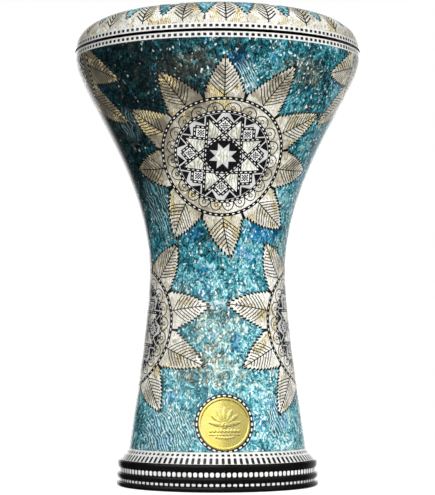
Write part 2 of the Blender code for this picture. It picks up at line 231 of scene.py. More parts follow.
class Surface:
    """A surface of revolution. A place on it is an azimuth in radians and a distance down in mm."""

    def __init__(self, outline):
        self.outline = np.array(outline)
        steps = np.hypot(*np.diff(self.outline, axis=0).T) / MM
        self.down = np.concatenate(([0.0], np.cumsum(steps)))
        tangents = np.gradient(self.outline, self.down, axis=0)
        self.tangents = tangents / np.hypot(*tangents.T)[:, None]

    def radius(self, down):
        return np.interp(down, self.down, self.outline[:, 0])

    def down_at(self, height):
        return float(np.interp(-height, -self.outline[:, 1], self.down))

    def normals(self, azimuths, downs):
        across = np.interp(downs, self.down, self.tangents[:, 0])
        along = np.interp(downs, self.down, self.tangents[:, 1])
        return np.stack((-along * np.sin(azimuths), along * np.cos(azimuths), across), 1)

    def places(self, azimuths, downs, lift=0.0):
        """Positions in metres, lifted off the surface by a distance in mm."""
        radius = self.radius(downs)
        height = np.interp(downs, self.down, self.outline[:, 1])
        on_surface = np.stack((radius * np.sin(azimuths), -radius * np.cos(azimuths), height), 1)
        return on_surface + self.normals(azimuths, downs) * np.reshape(lift, (-1, 1)) * MM

    def unroll(self, azimuth, height):
        """Takes flat places in mm onto the surface, as if unrolled around a centre (azimuth in degrees)."""
        centre = self.down_at(height)
        nearby = [centre - CURVE_REACH, centre, centre + CURVE_REACH]
        slope = -np.mean(np.interp(nearby, self.down, self.tangents[:, 0]))
        apex = float(self.radius(centre)) / MM / float(slope)

        def wrap(flat):
            across = flat[:, 1] + apex
            angle = np.arctan(flat[:, 0] / across)
            distance = across / np.cos(angle)
            downs = centre - (distance - apex)
            return math.radians(azimuth) + distance * angle * MM / self.radius(downs), downs

        return wrap


# ---- meshes and pieces


def new_object(name, data):
    thing = bpy.data.objects.new(name, data)
    bpy.context.scene.collection.objects.link(thing)
    return thing


def new_piece(name, mesh, material, body, slot, *nodes):
    """A piece of the object that rides on a body and stands for CAD nodes."""
    mesh.materials.append(material)
    piece = new_object(name, mesh)
    if body:
        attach(piece, body)
    if nodes:
        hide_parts(*nodes)
    return piece


def shaded(mesh, sharp=SHARP):
    """The mesh, smooth except at edges past an angle in degrees."""
    mesh.shade_smooth()
    mesh.set_sharp_from_angle(angle=math.radians(sharp))
    return mesh


def mesh_from(name, vertices, faces, normals=None):
    mesh = bpy.data.meshes.new(name)
    mesh.from_pydata([tuple(v) for v in vertices], [], [tuple(f) for f in faces])
    mesh.shade_smooth()
    if normals is not None:
        mesh.normals_split_custom_set_from_vertices([tuple(n) for n in normals])
    return mesh


def mesh_of(build, name):
    mesh = bpy.data.meshes.new(name)
    build.to_mesh(mesh)
    build.free()
    return mesh


def turned(name, outline, segments=SEGMENTS, closed=True, sharp=SHARP):
    """A surface of revolution about Z through an outline of (radius, height)."""
    build = bmesh.new()
    points = [build.verts.new((radius, 0.0, height)) for radius, height in outline]
    edges = [build.edges.new(pair) for pair in zip(points, points[1:])]
    if closed:
        edges.append(build.edges.new((points[-1], points[0])))
    bmesh.ops.spin(
        build, geom=points + edges, axis=(0, 0, 1), cent=(0, 0, 0), angle=TURN, steps=segments
    )
    bmesh.ops.remove_doubles(build, verts=build.verts, dist=1e-6)
    bmesh.ops.recalc_face_normals(build, faces=build.faces)
    return shaded(mesh_of(build, name), sharp)


def screw_places():
    """Where the screws stand on their circle."""
    places = []
    for index in range(SCREW_COUNT):
        azimuth = TURN * (index + 0.5) / SCREW_COUNT
        place = (SCREW_CIRCLE_RADIUS * math.sin(azimuth), -SCREW_CIRCLE_RADIUS * math.cos(azimuth), 0)
        places.append(Matrix.Translation(place))
    return places


def cylinders(name, radius, low, high, places, sides=32):
    """An upright closed cylinder at each place."""
    build = bmesh.new()
    for place in places:
        bmesh.ops.create_cone(
            build,
            cap_ends=True,
            segments=sides,
            radius1=radius,
            radius2=radius,
            depth=high - low,
            matrix=place @ Matrix.Translation((0, 0, (low + high) / 2)),
        )
    return mesh_of(build, name)


def combined(mesh, steps):
    """The mesh after exact Booleans, given as (operation, helper mesh) pairs."""
    target = new_object(mesh.name, mesh)
    helpers = []
    for operation, helper_mesh in steps:
        helper = new_object(helper_mesh.name, helper_mesh)
        modifier = target.modifiers.new(helper_mesh.name, "BOOLEAN")
        modifier.operation = operation
        modifier.object = helper
        helpers.append(helper)
    graph = bpy.context.evaluated_depsgraph_get()
    result = bpy.data.meshes.new_from_object(target.evaluated_get(graph))
    for helper in (target, *helpers):
        bpy.data.objects.remove(helper)
    return shaded(result)


# ---- flat shapes in mm


def polar(radius, degrees):
    return (radius * math.cos(math.radians(degrees)), radius * math.sin(math.radians(degrees)))


def moved(points, offset=(0.0, 0.0), degrees=0.0):
    """Points turned about the origin and then shifted."""
    cos, sin = polar(1.0, degrees)
    return [(offset[0] + u * cos - v * sin, offset[1] + u * sin + v * cos) for u, v in points]


def disc(radius, sides=120, centre=(0.0, 0.0)):
    return moved([polar(radius, 360 * index / sides) for index in range(sides)], centre)


def pill(length, width, corner):
    """A rectangle with its corners cut by a share of its width, its length along u."""
    u, v = length / 2, width / 2
    cut = corner * width
    corners = ((u - cut, v), (u, v - cut), (u, cut - v), (u - cut, -v))
    return [*corners, *((-a, -b) for a, b in corners)]


def line(points, width):
    """The outline of a line of even width through points."""
    path = np.array(points, dtype=float)
    along = np.gradient(path, axis=0)
    along /= np.hypot(*along.T)[:, None]
    across = np.stack((-along[:, 1], along[:, 0]), 1) * width / 2
    return [tuple(p) for p in (*(path + across), *(path - across)[::-1])]


def between(start, end, share):
    return tuple(a + (b - a) * share for a, b in zip(start, end))


def dense(points, pitch=EDGE_PITCH):
    """The same outline with no edge longer than the pitch."""
    result = []
    for start, end in zip(points, [*points[1:], points[0]]):
        count = max(1, math.ceil(math.dist(start, end) / pitch))
        result += [between(start, end, step / count) for step in range(count)]
    return result


# ---- inlay


class Inlay:
    """Flat shapes on a turned surface, each over the ones before it, that become one flush mesh per piece."""

    def __init__(self, surface, ground, bottom=None):
        self.surface = surface
        self.bottom = surface.down[-1] if bottom is None else bottom
        self.half = math.pi * CHART_RADIUS
        low = -self.bottom
        corners = [(-self.half, low), (self.half, low), (self.half, 0.0), (-self.half, 0.0)]
        self.names = [ground]
        self.shapes = [dense(corners, CHART_PITCH)]

    def add(self, piece, places):
        """Adds a shape given as (azimuth in radians, distance down in mm) pairs."""
        shape = np.array(places) * (CHART_RADIUS, -1.0)
        ahead = np.roll(shape, -1, axis=0)
        if np.sum(shape[:, 0] * ahead[:, 1] - ahead[:, 0] * shape[:, 1]) < 0:
            shape = shape[::-1]
        if shape[:, 1].max() <= -self.bottom or shape[:, 1].min() >= 0.0:
            return
        for shift in (-2 * self.half, 0.0, 2 * self.half):
            shifted = shape + (shift, 0.0)
            if shifted[:, 0].max() > -self.half and shifted[:, 0].min() < self.half:
                self.names.append(piece)
                self.shapes.append([tuple(point) for point in shifted])

    def row(self, piece, down, shape, count, offset=0.0):
        """A ring of equal flat shapes, u along the row and v up, centred on a distance down."""
        radius = float(self.surface.radius(down)) / MM
        for index in range(count):
            azimuth = TURN * (index + offset) / count
            self.add(piece, [(azimuth + u / radius, down - v) for u, v in shape])

    def border(self, piece, top, past=0.0):
        """A white band with black squares, its top at a distance down, that runs on past its own height."""
        height = BORDER_HEIGHT / MM
        azimuths = [TURN * (step / BORDER_STEPS - 0.5) for step in range(BORDER_STEPS + 1)]
        upper = [(azimuth, top) for azimuth in azimuths]
        lower = [(azimuth, top + height + past) for azimuth in reversed(azimuths)]
        self.add(piece + "_white", upper + lower)
        self.row(piece + "_lines", top + height / 2, pill(*BORDER_SQUARE), BORDER_SQUARES, 0.5)

    def grid(self):
        """Points spread evenly over the chart, every other row shifted."""
        rows = max(1, int(self.bottom / (CHART_PITCH * CHART_ROW_RATIO)))
        columns = int(2 * self.half / CHART_PITCH)
        points = []
        for row in range(1, rows):
            shift = 0.75 if row % 2 else 0.25
            y = -self.bottom * row / rows
            spaced = [(column + shift) / columns for column in range(columns)]
            points += [(self.half * (2 * share - 1), y) for share in spaced]
        return points

    def meshes(self, split=None):
        """One mesh per piece. split names the part of the ground that an azimuth in radians belongs to."""
        points = []
        outlines = []
        for shape in self.shapes:
            outlines.append(list(range(len(points), len(points) + len(shape))))
            points += shape
        flat = [Vector(point) for point in points + self.grid()]
        corners, _, triangles, _, _, owners = delaunay_2d_cdt(flat, [], outlines, 1, CHART_TOLERANCE, True)
        chart = np.array([tuple(corner) for corner in corners])
        azimuths = chart[:, 0] / CHART_RADIUS
        places = self.surface.places(azimuths, -chart[:, 1])
        normals = self.surface.normals(azimuths, -chart[:, 1])
        chosen = {}
        for triangle, ids in zip(triangles, owners):
            if 0 not in ids:
                continue
            name = self.names[max(ids)]
            if split and name == self.names[0]:
                name = split(sum(azimuths[index] for index in triangle) / 3)
            chosen.setdefault(name, []).append(triangle)
        meshes = {}
        for name, faces in chosen.items():
            used, numbered = np.unique(np.array(faces), return_inverse=True)
            meshes[name] = mesh_from(name, places[used], numbered.reshape(-1, 3), normals[used])
        return meshes


class Pattern:
    """A flat drawing in mm around a place on an inlay; its pieces share a name."""

    def __init__(self, inlay, name, place, stretch=(1.0, 1.0)):
        self.inlay = inlay
        self.name = name
        self.wrap = inlay.surface.unroll(*place)
        self.stretch = stretch

    def add(self, kind, points, degrees=0.0):
        flat = np.array(dense(moved(points, degrees=degrees))) * self.stretch
        self.inlay.add(f"{self.name}_{kind}", np.stack(self.wrap(flat), 1))


# ---- medallion drawing

# Half width of a leaf along its axis, in mm. The first part is behind the notch between two leaves.
LEAF_OUTLINE = (
    (52.3, 17.0), (60.9, 19.0), (68.0, 17.0), (76.0, 14.5), (84.0, 11.2), (92.0, 6.8), (LEAF_TIP, 0.0),
)
LEAF_BASE = LEAF_OUTLINE[0][0]
LEAF_NOTCH = LEAF_OUTLINE[1][0]
LEAF_LINE = 1.8
TOOTH_PITCH = 3.4
TOOTH_DEPTH = 2.5
TOOTH_PEAK = 0.85
TOOTH_VALLEY = 0.80
TOOTH_LEAST = 0.2
MIDRIB = (57.5, 70.0, 82.0)
MIDRIB_WIDTH = 1.0
VEIN_START = 61.0
VEIN_STOP = 8.0
VEIN_PITCH = 3.9
VEIN_WIDTH = 0.9
VEIN_REACH = 0.76
VEIN_AHEAD = 7.0
SEAM = (56.0, 65.0)

# Course of a vein, as shares of its reach: (forward, sideways).
VEIN_BEND = ((0.0, 0.0), (0.42, 0.5), (0.95, 1.0))

# Ropes, as (inner, outer) radius, and dashes, as (length, width), in mm.
ROPE_OUTER = (56.3, 59.7)
ROPE_OUTER_DASHES = 68
ROPE_INNER = (43.3, 46.3)
ROPE_INNER_DASHES = 58
ROPE_DASH = (2.4, 1.1, 0.35)
BADGE_DASH = (3.1, 1.4, 0.35)
BADGE_DASHES = 32

# Scallops between the ropes.
SCALLOPS = 22
SCALLOP_DRIFT = 11.0
SCALLOP_LINE = 0.95
SCALLOP_STEPS = 12
ARCH_FOOT = ROPE_INNER[1] - 0.6
ARCH_RISE = 8.2
LOOP_CENTRE = ROPE_INNER[1] + 2.2
LOOP_RADII = (2.1, 1.3)
LOOP_SIDES = 14

# Star of straps inside the inner rope. Places are (out from the centre, across).
MANDALA_POINTS = 8
MANDALA_STEP = 360 / MANDALA_POINTS
MANDALA_TURN = -2.0
STRAP_DISTANCE = 16.2
STRAP_WIDTH = 3.1
STRAP_DASH_PITCH = 5.2
STRAP_END_MARGIN = 0.14
STRAP_DASH = (2.3, 0.9, 0.35)
STAR_POINT = 42.3
KITE_FOOT = 17.5
KITE_SHOULDER = (21.2, 8.8)
DARK_TRIANGLE = ((43.1, 3.4), (40.7, 13.9), (34.9, 8.2))
FRAME_STRAP = ((38.6, 0.3), (31.9, 7.0))
SQUARE_CENTRE = (30.6, 0.0)
SQUARE_HALF = 5.7
CHEQUER_PITCH = 1.22
CHEQUER_DOT = (1.2 * CHEQUER_PITCH, 1.2 * CHEQUER_PITCH, 0.05)
OCTAGON_DISTANCE = 15.1
STAR_RADII = (13.6, 7.3)
STAR_HEART = 6.6


def leaf_half_width(axial, tip):
    """Half width of a leaf of a given length at a distance from the medallion's centre."""
    known, widths = zip(*LEAF_OUTLINE)
    if axial > LEAF_NOTCH:
        axial = LEAF_NOTCH + (axial - LEAF_NOTCH) * (LEAF_TIP - LEAF_NOTCH) / (tip - LEAF_NOTCH)
    return float(np.interp(axial, known, widths))


def leaf_shape(tip, grow):
    """A leaf with two serrated sides, grown outwards by a distance."""
    side = [(axial, lateral + grow) for axial, lateral in LEAF_OUTLINE[:2]]
    teeth = round((tip - LEAF_NOTCH) / TOOTH_PITCH)
    pitch = (tip - LEAF_NOTCH) / teeth
    for tooth in range(teeth):
        peak = LEAF_NOTCH + pitch * (tooth + TOOTH_PEAK)
        valley = LEAF_NOTCH + pitch * (tooth + TOOTH_VALLEY)
        side.append((peak, leaf_half_width(peak, tip) + TOOTH_DEPTH / 2 + grow))
        side.append((valley, max(leaf_half_width(valley, tip) - TOOTH_DEPTH / 2, TOOTH_LEAST) + grow))
    return [*side, (tip + grow, 0.0), *((axial, -lateral) for axial, lateral in reversed(side))]


def lean(points, degrees):
    """Bends a leaf sideways: none at its base, the whole angle at its tip."""
    bent = []
    for axial, lateral in points:
        share = np.clip((axial - LEAF_BASE) / (LEAF_TIP - LEAF_BASE), 0.0, 1.0)
        bent += moved([(axial, lateral)], degrees=degrees * float(share))
    return bent


def draw_veins(add, start, stop, pitch, width, reach_at):
    """Pairs of lines that bend outwards from a leaf's midrib, as far as they reach at their start."""
    while start < stop:
        reach = reach_at(start)
        for side in (-1, 1):
            path = [(start + forward * reach, side * aside * reach) for forward, aside in VEIN_BEND]
            add("lines", line(path, width))
        start += pitch


def draw_leaf(pattern, degrees, tip, tilt):
    """A serrated leaf with a dark outline, a midrib and forward veins."""

    def add(kind, shape):
        pattern.add(kind, lean(shape, tilt), degrees)

    def reach_at(axial):
        return VEIN_REACH * leaf_half_width(axial + VEIN_AHEAD, tip)

    add("lines", leaf_shape(tip, LEAF_LINE / 2))
    add("pearl", leaf_shape(tip, -LEAF_LINE / 2))
    add("lines", line([(axial, 0.0) for axial in (*MIDRIB, tip - 1.0)], MIDRIB_WIDTH))
    draw_veins(add, VEIN_START, tip - VEIN_STOP, VEIN_PITCH, VEIN_WIDTH, reach_at)


def draw_rope(pattern, radii, count, dash=ROPE_DASH):
    """White dashes around the middle of a black ring."""
    shape = moved(pill(*dash), (0.0, sum(radii) / 2))
    for index in range(count):
        pattern.add("white", shape, 360 * index / count)


def scallop_bearing(index):
    """Direction in degrees: the scallops are wider at the top of the medallion than at its foot."""
    share = (index + 0.5) / SCALLOPS
    return 90 + 360 * share + SCALLOP_DRIFT * math.sin(TURN * share)


def draw_scallops(pattern):
    """Arches between the two ropes, each with a small loop at its foot."""
    for index in range(SCALLOPS):
        start = scallop_bearing(index - 0.5)
        end = scallop_bearing(index + 0.5)
        arch = []
        for step in range(SCALLOP_STEPS + 1):
            share = step / SCALLOP_STEPS
            rise = ARCH_RISE * math.sin(math.pi * share) ** 0.5
            arch.append(polar(ARCH_FOOT + rise, start + (end - start) * share))
        pattern.add("lines", line(arch, SCALLOP_LINE))
        centre = polar(LOOP_CENTRE, (start + end) / 2)
        for kind, radius in zip(("lines", "pearl"), LOOP_RADII):
            pattern.add(kind, disc(radius, LOOP_SIDES, centre))


def draw_strap(pattern, start, end, degrees):
    """A black strap with a row of white dashes."""
    pattern.add("lines", line([start, end], STRAP_WIDTH), degrees)
    count = max(1, round(math.dist(start, end) / STRAP_DASH_PITCH))
    slant = math.degrees(math.atan2(end[1] - start[1], end[0] - start[0]))
    for index in range(count):
        share = (index + 0.5) / count
        centre = between(start, end, share + (0.5 - share) * STRAP_END_MARGIN)
        pattern.add("white", moved(pill(*STRAP_DASH), centre, slant), degrees)


def draw_wedge(pattern, degrees):
    """The field between two star points: dark triangles, a crown and a chequered square in a short frame."""
    for side in (-1, 1):
        pattern.add("lines", [(out, side * across) for out, across in DARK_TRIANGLE], degrees)
        start, end = ((out, side * across) for out, across in FRAME_STRAP)
        draw_strap(pattern, start, end, degrees)
    pattern.add("white", disc(SQUARE_HALF, 4, SQUARE_CENTRE), degrees)
    for row in range(-2, 3):
        for column in range(-2 + row % 2, 3, 2):
            dot = moved(pill(*CHEQUER_DOT), (CHEQUER_PITCH * row, CHEQUER_PITCH * column))
            pattern.add("lines", moved(dot, SQUARE_CENTRE, 45.0), degrees)


def draw_mandala(pattern):
    """An eight-pointed star of crossing straps inside the inner rope."""
    out, across = KITE_SHOULDER
    kite = [(KITE_FOOT, 0.0), (out, across), (STAR_POINT, 0.0), (out, -across)]
    half_chord = math.sqrt(STAR_POINT**2 - STRAP_DISTANCE**2)
    turns = [MANDALA_TURN + MANDALA_STEP * index for index in range(MANDALA_POINTS)]
    pattern.add("silver", disc(ROPE_INNER[0]))
    for turn in turns:
        draw_wedge(pattern, turn)
        pattern.add("ivory", kite, turn + MANDALA_STEP / 2)
    for turn in turns:
        draw_strap(pattern, (STRAP_DISTANCE, -half_chord), (STRAP_DISTANCE, half_chord), turn)
    corner = OCTAGON_DISTANCE / math.cos(math.radians(MANDALA_STEP / 2))
    octagon = disc(corner, MANDALA_POINTS)
    pattern.add("lines", octagon, MANDALA_TURN + MANDALA_STEP / 2)
    star = []
    for index in range(MANDALA_POINTS):
        star.append(polar(STAR_RADII[0], MANDALA_STEP * (index + 0.5)))
        star.append(polar(STAR_RADII[1], MANDALA_STEP * (index + 1)))
    pattern.add("silver", star, MANDALA_TURN)
    pattern.add("ivory", disc(STAR_HEART, MANDALA_POINTS), MANDALA_TURN)


def draw_medallion(inlay, name, azimuth, height, leaves):
    pattern = Pattern(inlay, name, (azimuth, height), MEDALLION_STRETCH)
    for index, (tip, tilt) in enumerate(leaves):
        degrees = 90 - 360 * index / len(leaves)
        draw_leaf(pattern, degrees, tip, tilt)
        seam = [polar(radius, degrees + 180 / len(leaves)) for radius in SEAM]
        pattern.add("lines", line(seam, MIDRIB_WIDTH))
    pattern.add("lines", disc(ROPE_OUTER[1]))
    draw_rope(pattern, ROPE_OUTER, ROPE_OUTER_DASHES)
    pattern.add("pearl", disc(ROPE_OUTER[0]))
    draw_scallops(pattern)
    pattern.add("lines", disc(ROPE_INNER[1]))
    draw_rope(pattern, ROPE_INNER, ROPE_INNER_DASHES)
    draw_mandala(pattern)


# ---- inlaid regions

# Black squares of the two rim borders: length, width and cut corner.
BORDER_SQUARES = 160
BORDER_SQUARE = (3.1, 2.6, 0.12)
BORDER_STEPS = 72

# Leaves of the tension ring, as (height above the border, half width) in mm.
RING_LEAVES = 22
RING_LEAF_SIDE = ((7.5, 19.3), (13.0, 16.5), (20.0, 12.5), (28.0, 8.5), (36.0, 4.5), (42.0, 2.0))
RING_LEAF_NOTCH = RING_LEAF_SIDE[0][0]
RING_LEAF_FOOT = -2.0
RING_LEAF_OVERLAP = 0.3
RING_LEAF_LINE = 2.0
RING_SEAM = (3.0, RING_LEAF_NOTCH + 0.5)
RING_PEAK = 2.7
RING_MIDRIB = (1.5, 40.0)
RING_VEINS = (4.0, 36.0)
RING_VEIN_PITCH = 4.2
RING_VEIN_WIDTH = 1.35
RING_VEIN_REACH = 0.66
RING_VEIN_AHEAD = 6.0
RING_VEIN_WIDEST = 13.0

# Blocks of the foot's bands: length, width and cut corner. The flare's two rows are (distance down, block).
FLARE_BLOCKS = 104
FLARE_ROWS = ((3.4, (2.8, 2.5, 0.1)), (9.9, (2.8, 6.8, 0.1)))
FOOT_BANDS = (
    ("foot_upper", FOOT_BAND_UPPER, (3.6, 4.3, 0.2), 116),
    ("foot_lower", FOOT_BAND_LOWER, (3.4, 2.3, 0.2), 110),
)


def field_name(azimuth):
    """The quarter of the teal field that an azimuth in radians lies in."""
    quarters = ("front", "right", "back", "left")
    return f"body_{quarters[round(azimuth / (math.pi / 2)) % 4]}_teal"


def make_body_inlay():
    surface = Surface(body_outline())
    inlay = Inlay(surface, "body_teal", surface.down_at(STEM_END[1]) - GAP / MM)
    for name, _, azimuth, height, leaves in sorted(MEDALLIONS, key=lambda m: m[0].startswith("rim")):
        draw_medallion(inlay, name + "_medallion", azimuth, height, leaves)
    badge = Pattern(inlay, "badge_border", BADGE_PLACE)
    badge.add("lines", disc(BADGE_BORDER_RADIUS))
    draw_rope(badge, (BADGE_RADIUS, BADGE_BORDER_RADIUS), BADGE_DASHES, BADGE_DASH)
    inlay.border("rim_border", 0.0)
    return inlay.meshes(field_name)


def ring_leaf_width(up):
    known, widths = zip(*RING_LEAF_SIDE)
    return float(np.interp(up, known, widths))


def ring_leaf_shape(half_pitch, grow):
    """An upright leaf that meets its neighbours at the notch, as (up, across)."""
    foot = half_pitch + RING_LEAF_OVERLAP
    side = [(RING_LEAF_FOOT, foot), (RING_LEAF_NOTCH, foot)]
    up = RING_LEAF_NOTCH
    while up < RING_LEAF_SIDE[-1][0]:
        for height, tooth in ((up + RING_PEAK, TOOTH_DEPTH / 2), (up + TOOTH_PITCH, -TOOTH_DEPTH / 2)):
            side.append((height, ring_leaf_width(height) + tooth + grow))
        up += TOOTH_PITCH
    return side + [(up, -across) for up, across in reversed(side)]


def draw_ring_leaf(inlay, base, azimuth):
    """An upright leaf of the ring, cut off by the ring's inner edge."""

    def add(kind, shape):
        flat = np.array(dense(shape))
        down = base - flat[:, 0]
        around = azimuth + flat[:, 1] * MM / inlay.surface.radius(down)
        inlay.add("ring_" + kind, np.stack((around, down), 1))

    def reach_at(up):
        widest = ring_leaf_width(max(up + RING_VEIN_AHEAD, RING_LEAF_NOTCH))
        return RING_VEIN_REACH * min(widest, RING_VEIN_WIDEST)

    half_pitch = math.pi * float(inlay.surface.radius(base)) / MM / RING_LEAVES
    add("lines", ring_leaf_shape(half_pitch, RING_LEAF_LINE / 2))
    add("pearl", ring_leaf_shape(half_pitch, -RING_LEAF_LINE / 2))
    add("lines", line([(up, 0.0) for up in RING_MIDRIB], RING_VEIN_WIDTH))
    draw_veins(add, *RING_VEINS, RING_VEIN_PITCH, RING_VEIN_WIDTH, reach_at)
    add("lines", line([(up, half_pitch) for up in RING_SEAM], RING_LEAF_LINE))


def make_ring_inlay():
    surface = Surface(ring_outline(RING_VENEER_INNER_RADIUS))
    inlay = Inlay(surface, "ring_teal")
    base = surface.down[-1] - BORDER_HEIGHT / MM
    for index in range(RING_LEAVES):
        draw_ring_leaf(inlay, base, TURN * index / RING_LEAVES)
    inlay.border("ring_border", base, 1.0)
    hole_down = float(np.interp(SCREW_CIRCLE_RADIUS, surface.outline[:, 0], surface.down))
    hole = disc((COUNTERBORE_RADIUS + GAP) / MM, 32)
    inlay.row("opening", hole_down, hole, SCREW_COUNT, 0.5)
    meshes = inlay.meshes()
    bpy.data.meshes.remove(meshes.pop("opening"))
    return meshes


def make_foot_inlay():
    """The flared band and the two bands in the foot's grooves."""
    flare = Surface([(STEM_END[0] + GAP, STEM_END[1]), (FLARE_END[0], FLARE_END[1] + GAP)])
    inlay = Inlay(flare, "foot_flare_white")
    for down, block in FLARE_ROWS:
        inlay.row("foot_flare_lines", down, pill(*block), FLARE_BLOCKS)
    meshes = inlay.meshes()
    for name, (bottom, top), block, count in FOOT_BANDS:
        surface = Surface([(FOOT_GROOVE_RADIUS, top - GAP), (FOOT_GROOVE_RADIUS, bottom + GAP)])
        inlay = Inlay(surface, name + "_lines")
        inlay.row(name + "_white", surface.down[-1] / 2, pill(*block), count)
        meshes.update(inlay.meshes())
    return meshes


# ---- turned metal, film and screws


def bead(top, bottom, bulge, edge):
    """One rounded bead of the foot, from its top to its bottom."""
    points = []
    for step in range(BEAD_STEPS + 1):
        angle = math.pi * step / BEAD_STEPS
        radius = edge + (bulge - edge) * math.sin(angle) ** BEAD_FULLNESS
        points.append((radius, (top + bottom) / 2 + (top - bottom) / 2 * math.cos(angle)))
    return points


def foot_outline():
    """Outside of the foot: three rounded beads with a groove between each two."""
    upper, middle, lower = FOOT_BEAD_RADII
    groove = FOOT_GROOVE_RADIUS - SKIN
    points = bead(FLARE_END[1] - GAP, FOOT_BAND_UPPER[1], upper, FOOT_GROOVE_RADIUS)
    points += [(groove, height) for height in reversed(FOOT_BAND_UPPER)]
    points += bead(FOOT_BAND_UPPER[0], FOOT_BAND_LOWER[1], middle, FOOT_GROOVE_RADIUS)
    points += [(groove, height) for height in reversed(FOOT_BAND_LOWER)]
    return points + bead(FOOT_BAND_LOWER[0], 0.0, lower, FOOT_EDGE_RADIUS)


def make_shell():
    """The lacquered casting: foot beads, wall, rim flange, bearing collar and screw bosses."""
    outer = inset(body_outline(24) + [FLARE_END], SKIN)
    outer[0] = (outer[0][0], FLANGE_TOP)
    inner = [(FOOT_INNER_RADIUS, 0.0), (FOOT_INNER_RADIUS - 0.001, FLARE_END[1] - 0.004)]
    inner += reversed(inset(body_outline(24), SKIN + WALL)[3:])
    across, below = FLANGE_CHAMFER
    under_flange = RIM_RADIUS - SKIN - WALL
    inner += [(under_flange, FLANGE_BOTTOM - below), (under_flange - across, FLANGE_BOTTOM)]
    inner.append((COLLAR_RADII[0], FLANGE_BOTTOM))
    inner += [(COLLAR_RADII[0] + out * MM, BEARING_TOP - down * MM) for out, down in BEARING_EDGE]
    inner.append((COLLAR_RADII[1], FLANGE_TOP))
    shell = turned("shell_casting", outer + foot_outline() + inner)
    places = screw_places()
    bosses = cylinders("bosses", BOSS_RADIUS, BOSS_END, FLANGE_TOP - 0.001, places)
    holes = cylinders("tapped_holes", TAPPED_HOLE_RADIUS, TAPPED_HOLE_END, FLANGE_TOP + CUT_MARGIN, places)
    return combined(shell, (("UNION", bosses), ("DIFFERENCE", holes)))


def make_ring_casting():
    outline = ring_outline(RING_BORE_RADIUS, SKIN)
    outline += [
        (RING_LOWER_BORE_RADIUS, RING_BOTTOM),
        (RING_LOWER_BORE_RADIUS, RING_LIP_HEIGHT),
        (RING_BORE_RADIUS, RING_LIP_HEIGHT),
    ]
    above = RING_CENTRE[1] + RING_SEMI_AXES[1] + CUT_MARGIN
    places = screw_places()
    counterbores = cylinders("counterbores", COUNTERBORE_RADIUS, COUNTERBORE_FLOOR, above, places)
    holes = cylinders("clearance_holes", CLEARANCE_HOLE_RADIUS, RING_BOTTOM - CUT_MARGIN, above, places)
    return combined(turned("ring_casting", outline), (("DIFFERENCE", counterbores), ("DIFFERENCE", holes)))


def make_film():
    """Film head: playing surface, bend over the bearing edge and collar down to the hoop."""
    centre = (FILM_RADIUS - FILM_BEND_RADIUS, FILM_TOP - FILM_BEND_RADIUS)
    flat = [(radius, FILM_TOP) for radius in FILM_FLAT_RADII]
    steps = range(FILM_BEND_STEPS + 1)
    bend = moved([polar(FILM_BEND_RADIUS, 90 - 90 * step / FILM_BEND_STEPS) for step in steps], centre)
    drop = centre[1] - FILM_COLLAR_END
    skirt = [
        (FILM_RADIUS, centre[1] - drop * (step + 1) / FILM_COLLAR_STEPS) for step in range(FILM_COLLAR_STEPS)
    ]
    inside = [(radius, height - FILM) for radius, height in flat]
    inside += [(radius - FILM, height - FILM) for radius, height in bend]
    inside += [(radius - FILM, height) for radius, height in skirt]
    return turned("head_film", flat + bend + skirt + inside[::-1], closed=False, sharp=50)


def flat_ring(radii, heights, cut):
    """Section of a flat ring with its four corners cut."""
    thickness = heights[1] - heights[0]
    section = pill(radii[1] - radii[0], thickness, cut / thickness)
    return moved(section, (sum(radii) / 2, sum(heights) / 2))


def make_hoop():
    return turned("head_hoop", flat_ring(HOOP_RADII, HOOP_HEIGHTS, HOOP_CHAMFER))


def grid_faces(rows, sides):
    """Faces between each two rows of a grid that closes around."""
    faces = []
    for start in range(0, (rows - 1) * sides, sides):
        for side in range(sides):
            ahead = (side + 1) % sides
            faces.append((start + side, start + ahead, start + sides + ahead, start + sides + side))
    return faces


def swept(name, rows, sides):
    """A closed body about Z from rows of (radius, height). A radius may be a function of angles."""
    angles = TURN * np.arange(sides) / sides
    vertices = []
    for radius, height in rows:
        radii = np.broadcast_to(radius(angles) if callable(radius) else radius, angles.shape)
        vertices += [(r * math.sin(a), -r * math.cos(a), height) for r, a in zip(radii, angles)]
    ends = [range(sides)[::-1], range(len(vertices) - sides, len(vertices))]
    return shaded(mesh_from(name, vertices, grid_faces(len(rows), sides) + ends))


def make_screw_head(bottom, top):
    """A knurled head with a hexagon socket."""

    def knurled(angles):
        return SCREW_HEAD_RADIUS - KNURL_DEPTH * (0.5 + 0.5 * np.cos(KNURLS * angles))

    rows = [
        (SCREW_RADIUS - SCREW_CHAMFER, bottom),
        (SCREW_HEAD_RADIUS - SCREW_CHAMFER, bottom),
        (SCREW_HEAD_RADIUS - KNURL_MARGIN, bottom + SCREW_CHAMFER),
        (knurled, bottom + KNURL_ENDS[0]),
        (knurled, top - KNURL_ENDS[1]),
        (SCREW_HEAD_RADIUS - KNURL_MARGIN, top - 1.5 * SCREW_CHAMFER),
        (SCREW_HEAD_RADIUS - 1.5 * SCREW_CHAMFER, top),
    ]
    head = swept("screw_head", rows, 4 * KNURLS)
    corner_radius = HEX_KEY_WIDTH / math.sqrt(3)
    socket = cylinders("hex_socket", corner_radius, top - HEX_DEPTH, top + 0.001, [Matrix()], 6)
    return combined(head, (("DIFFERENCE", socket),))


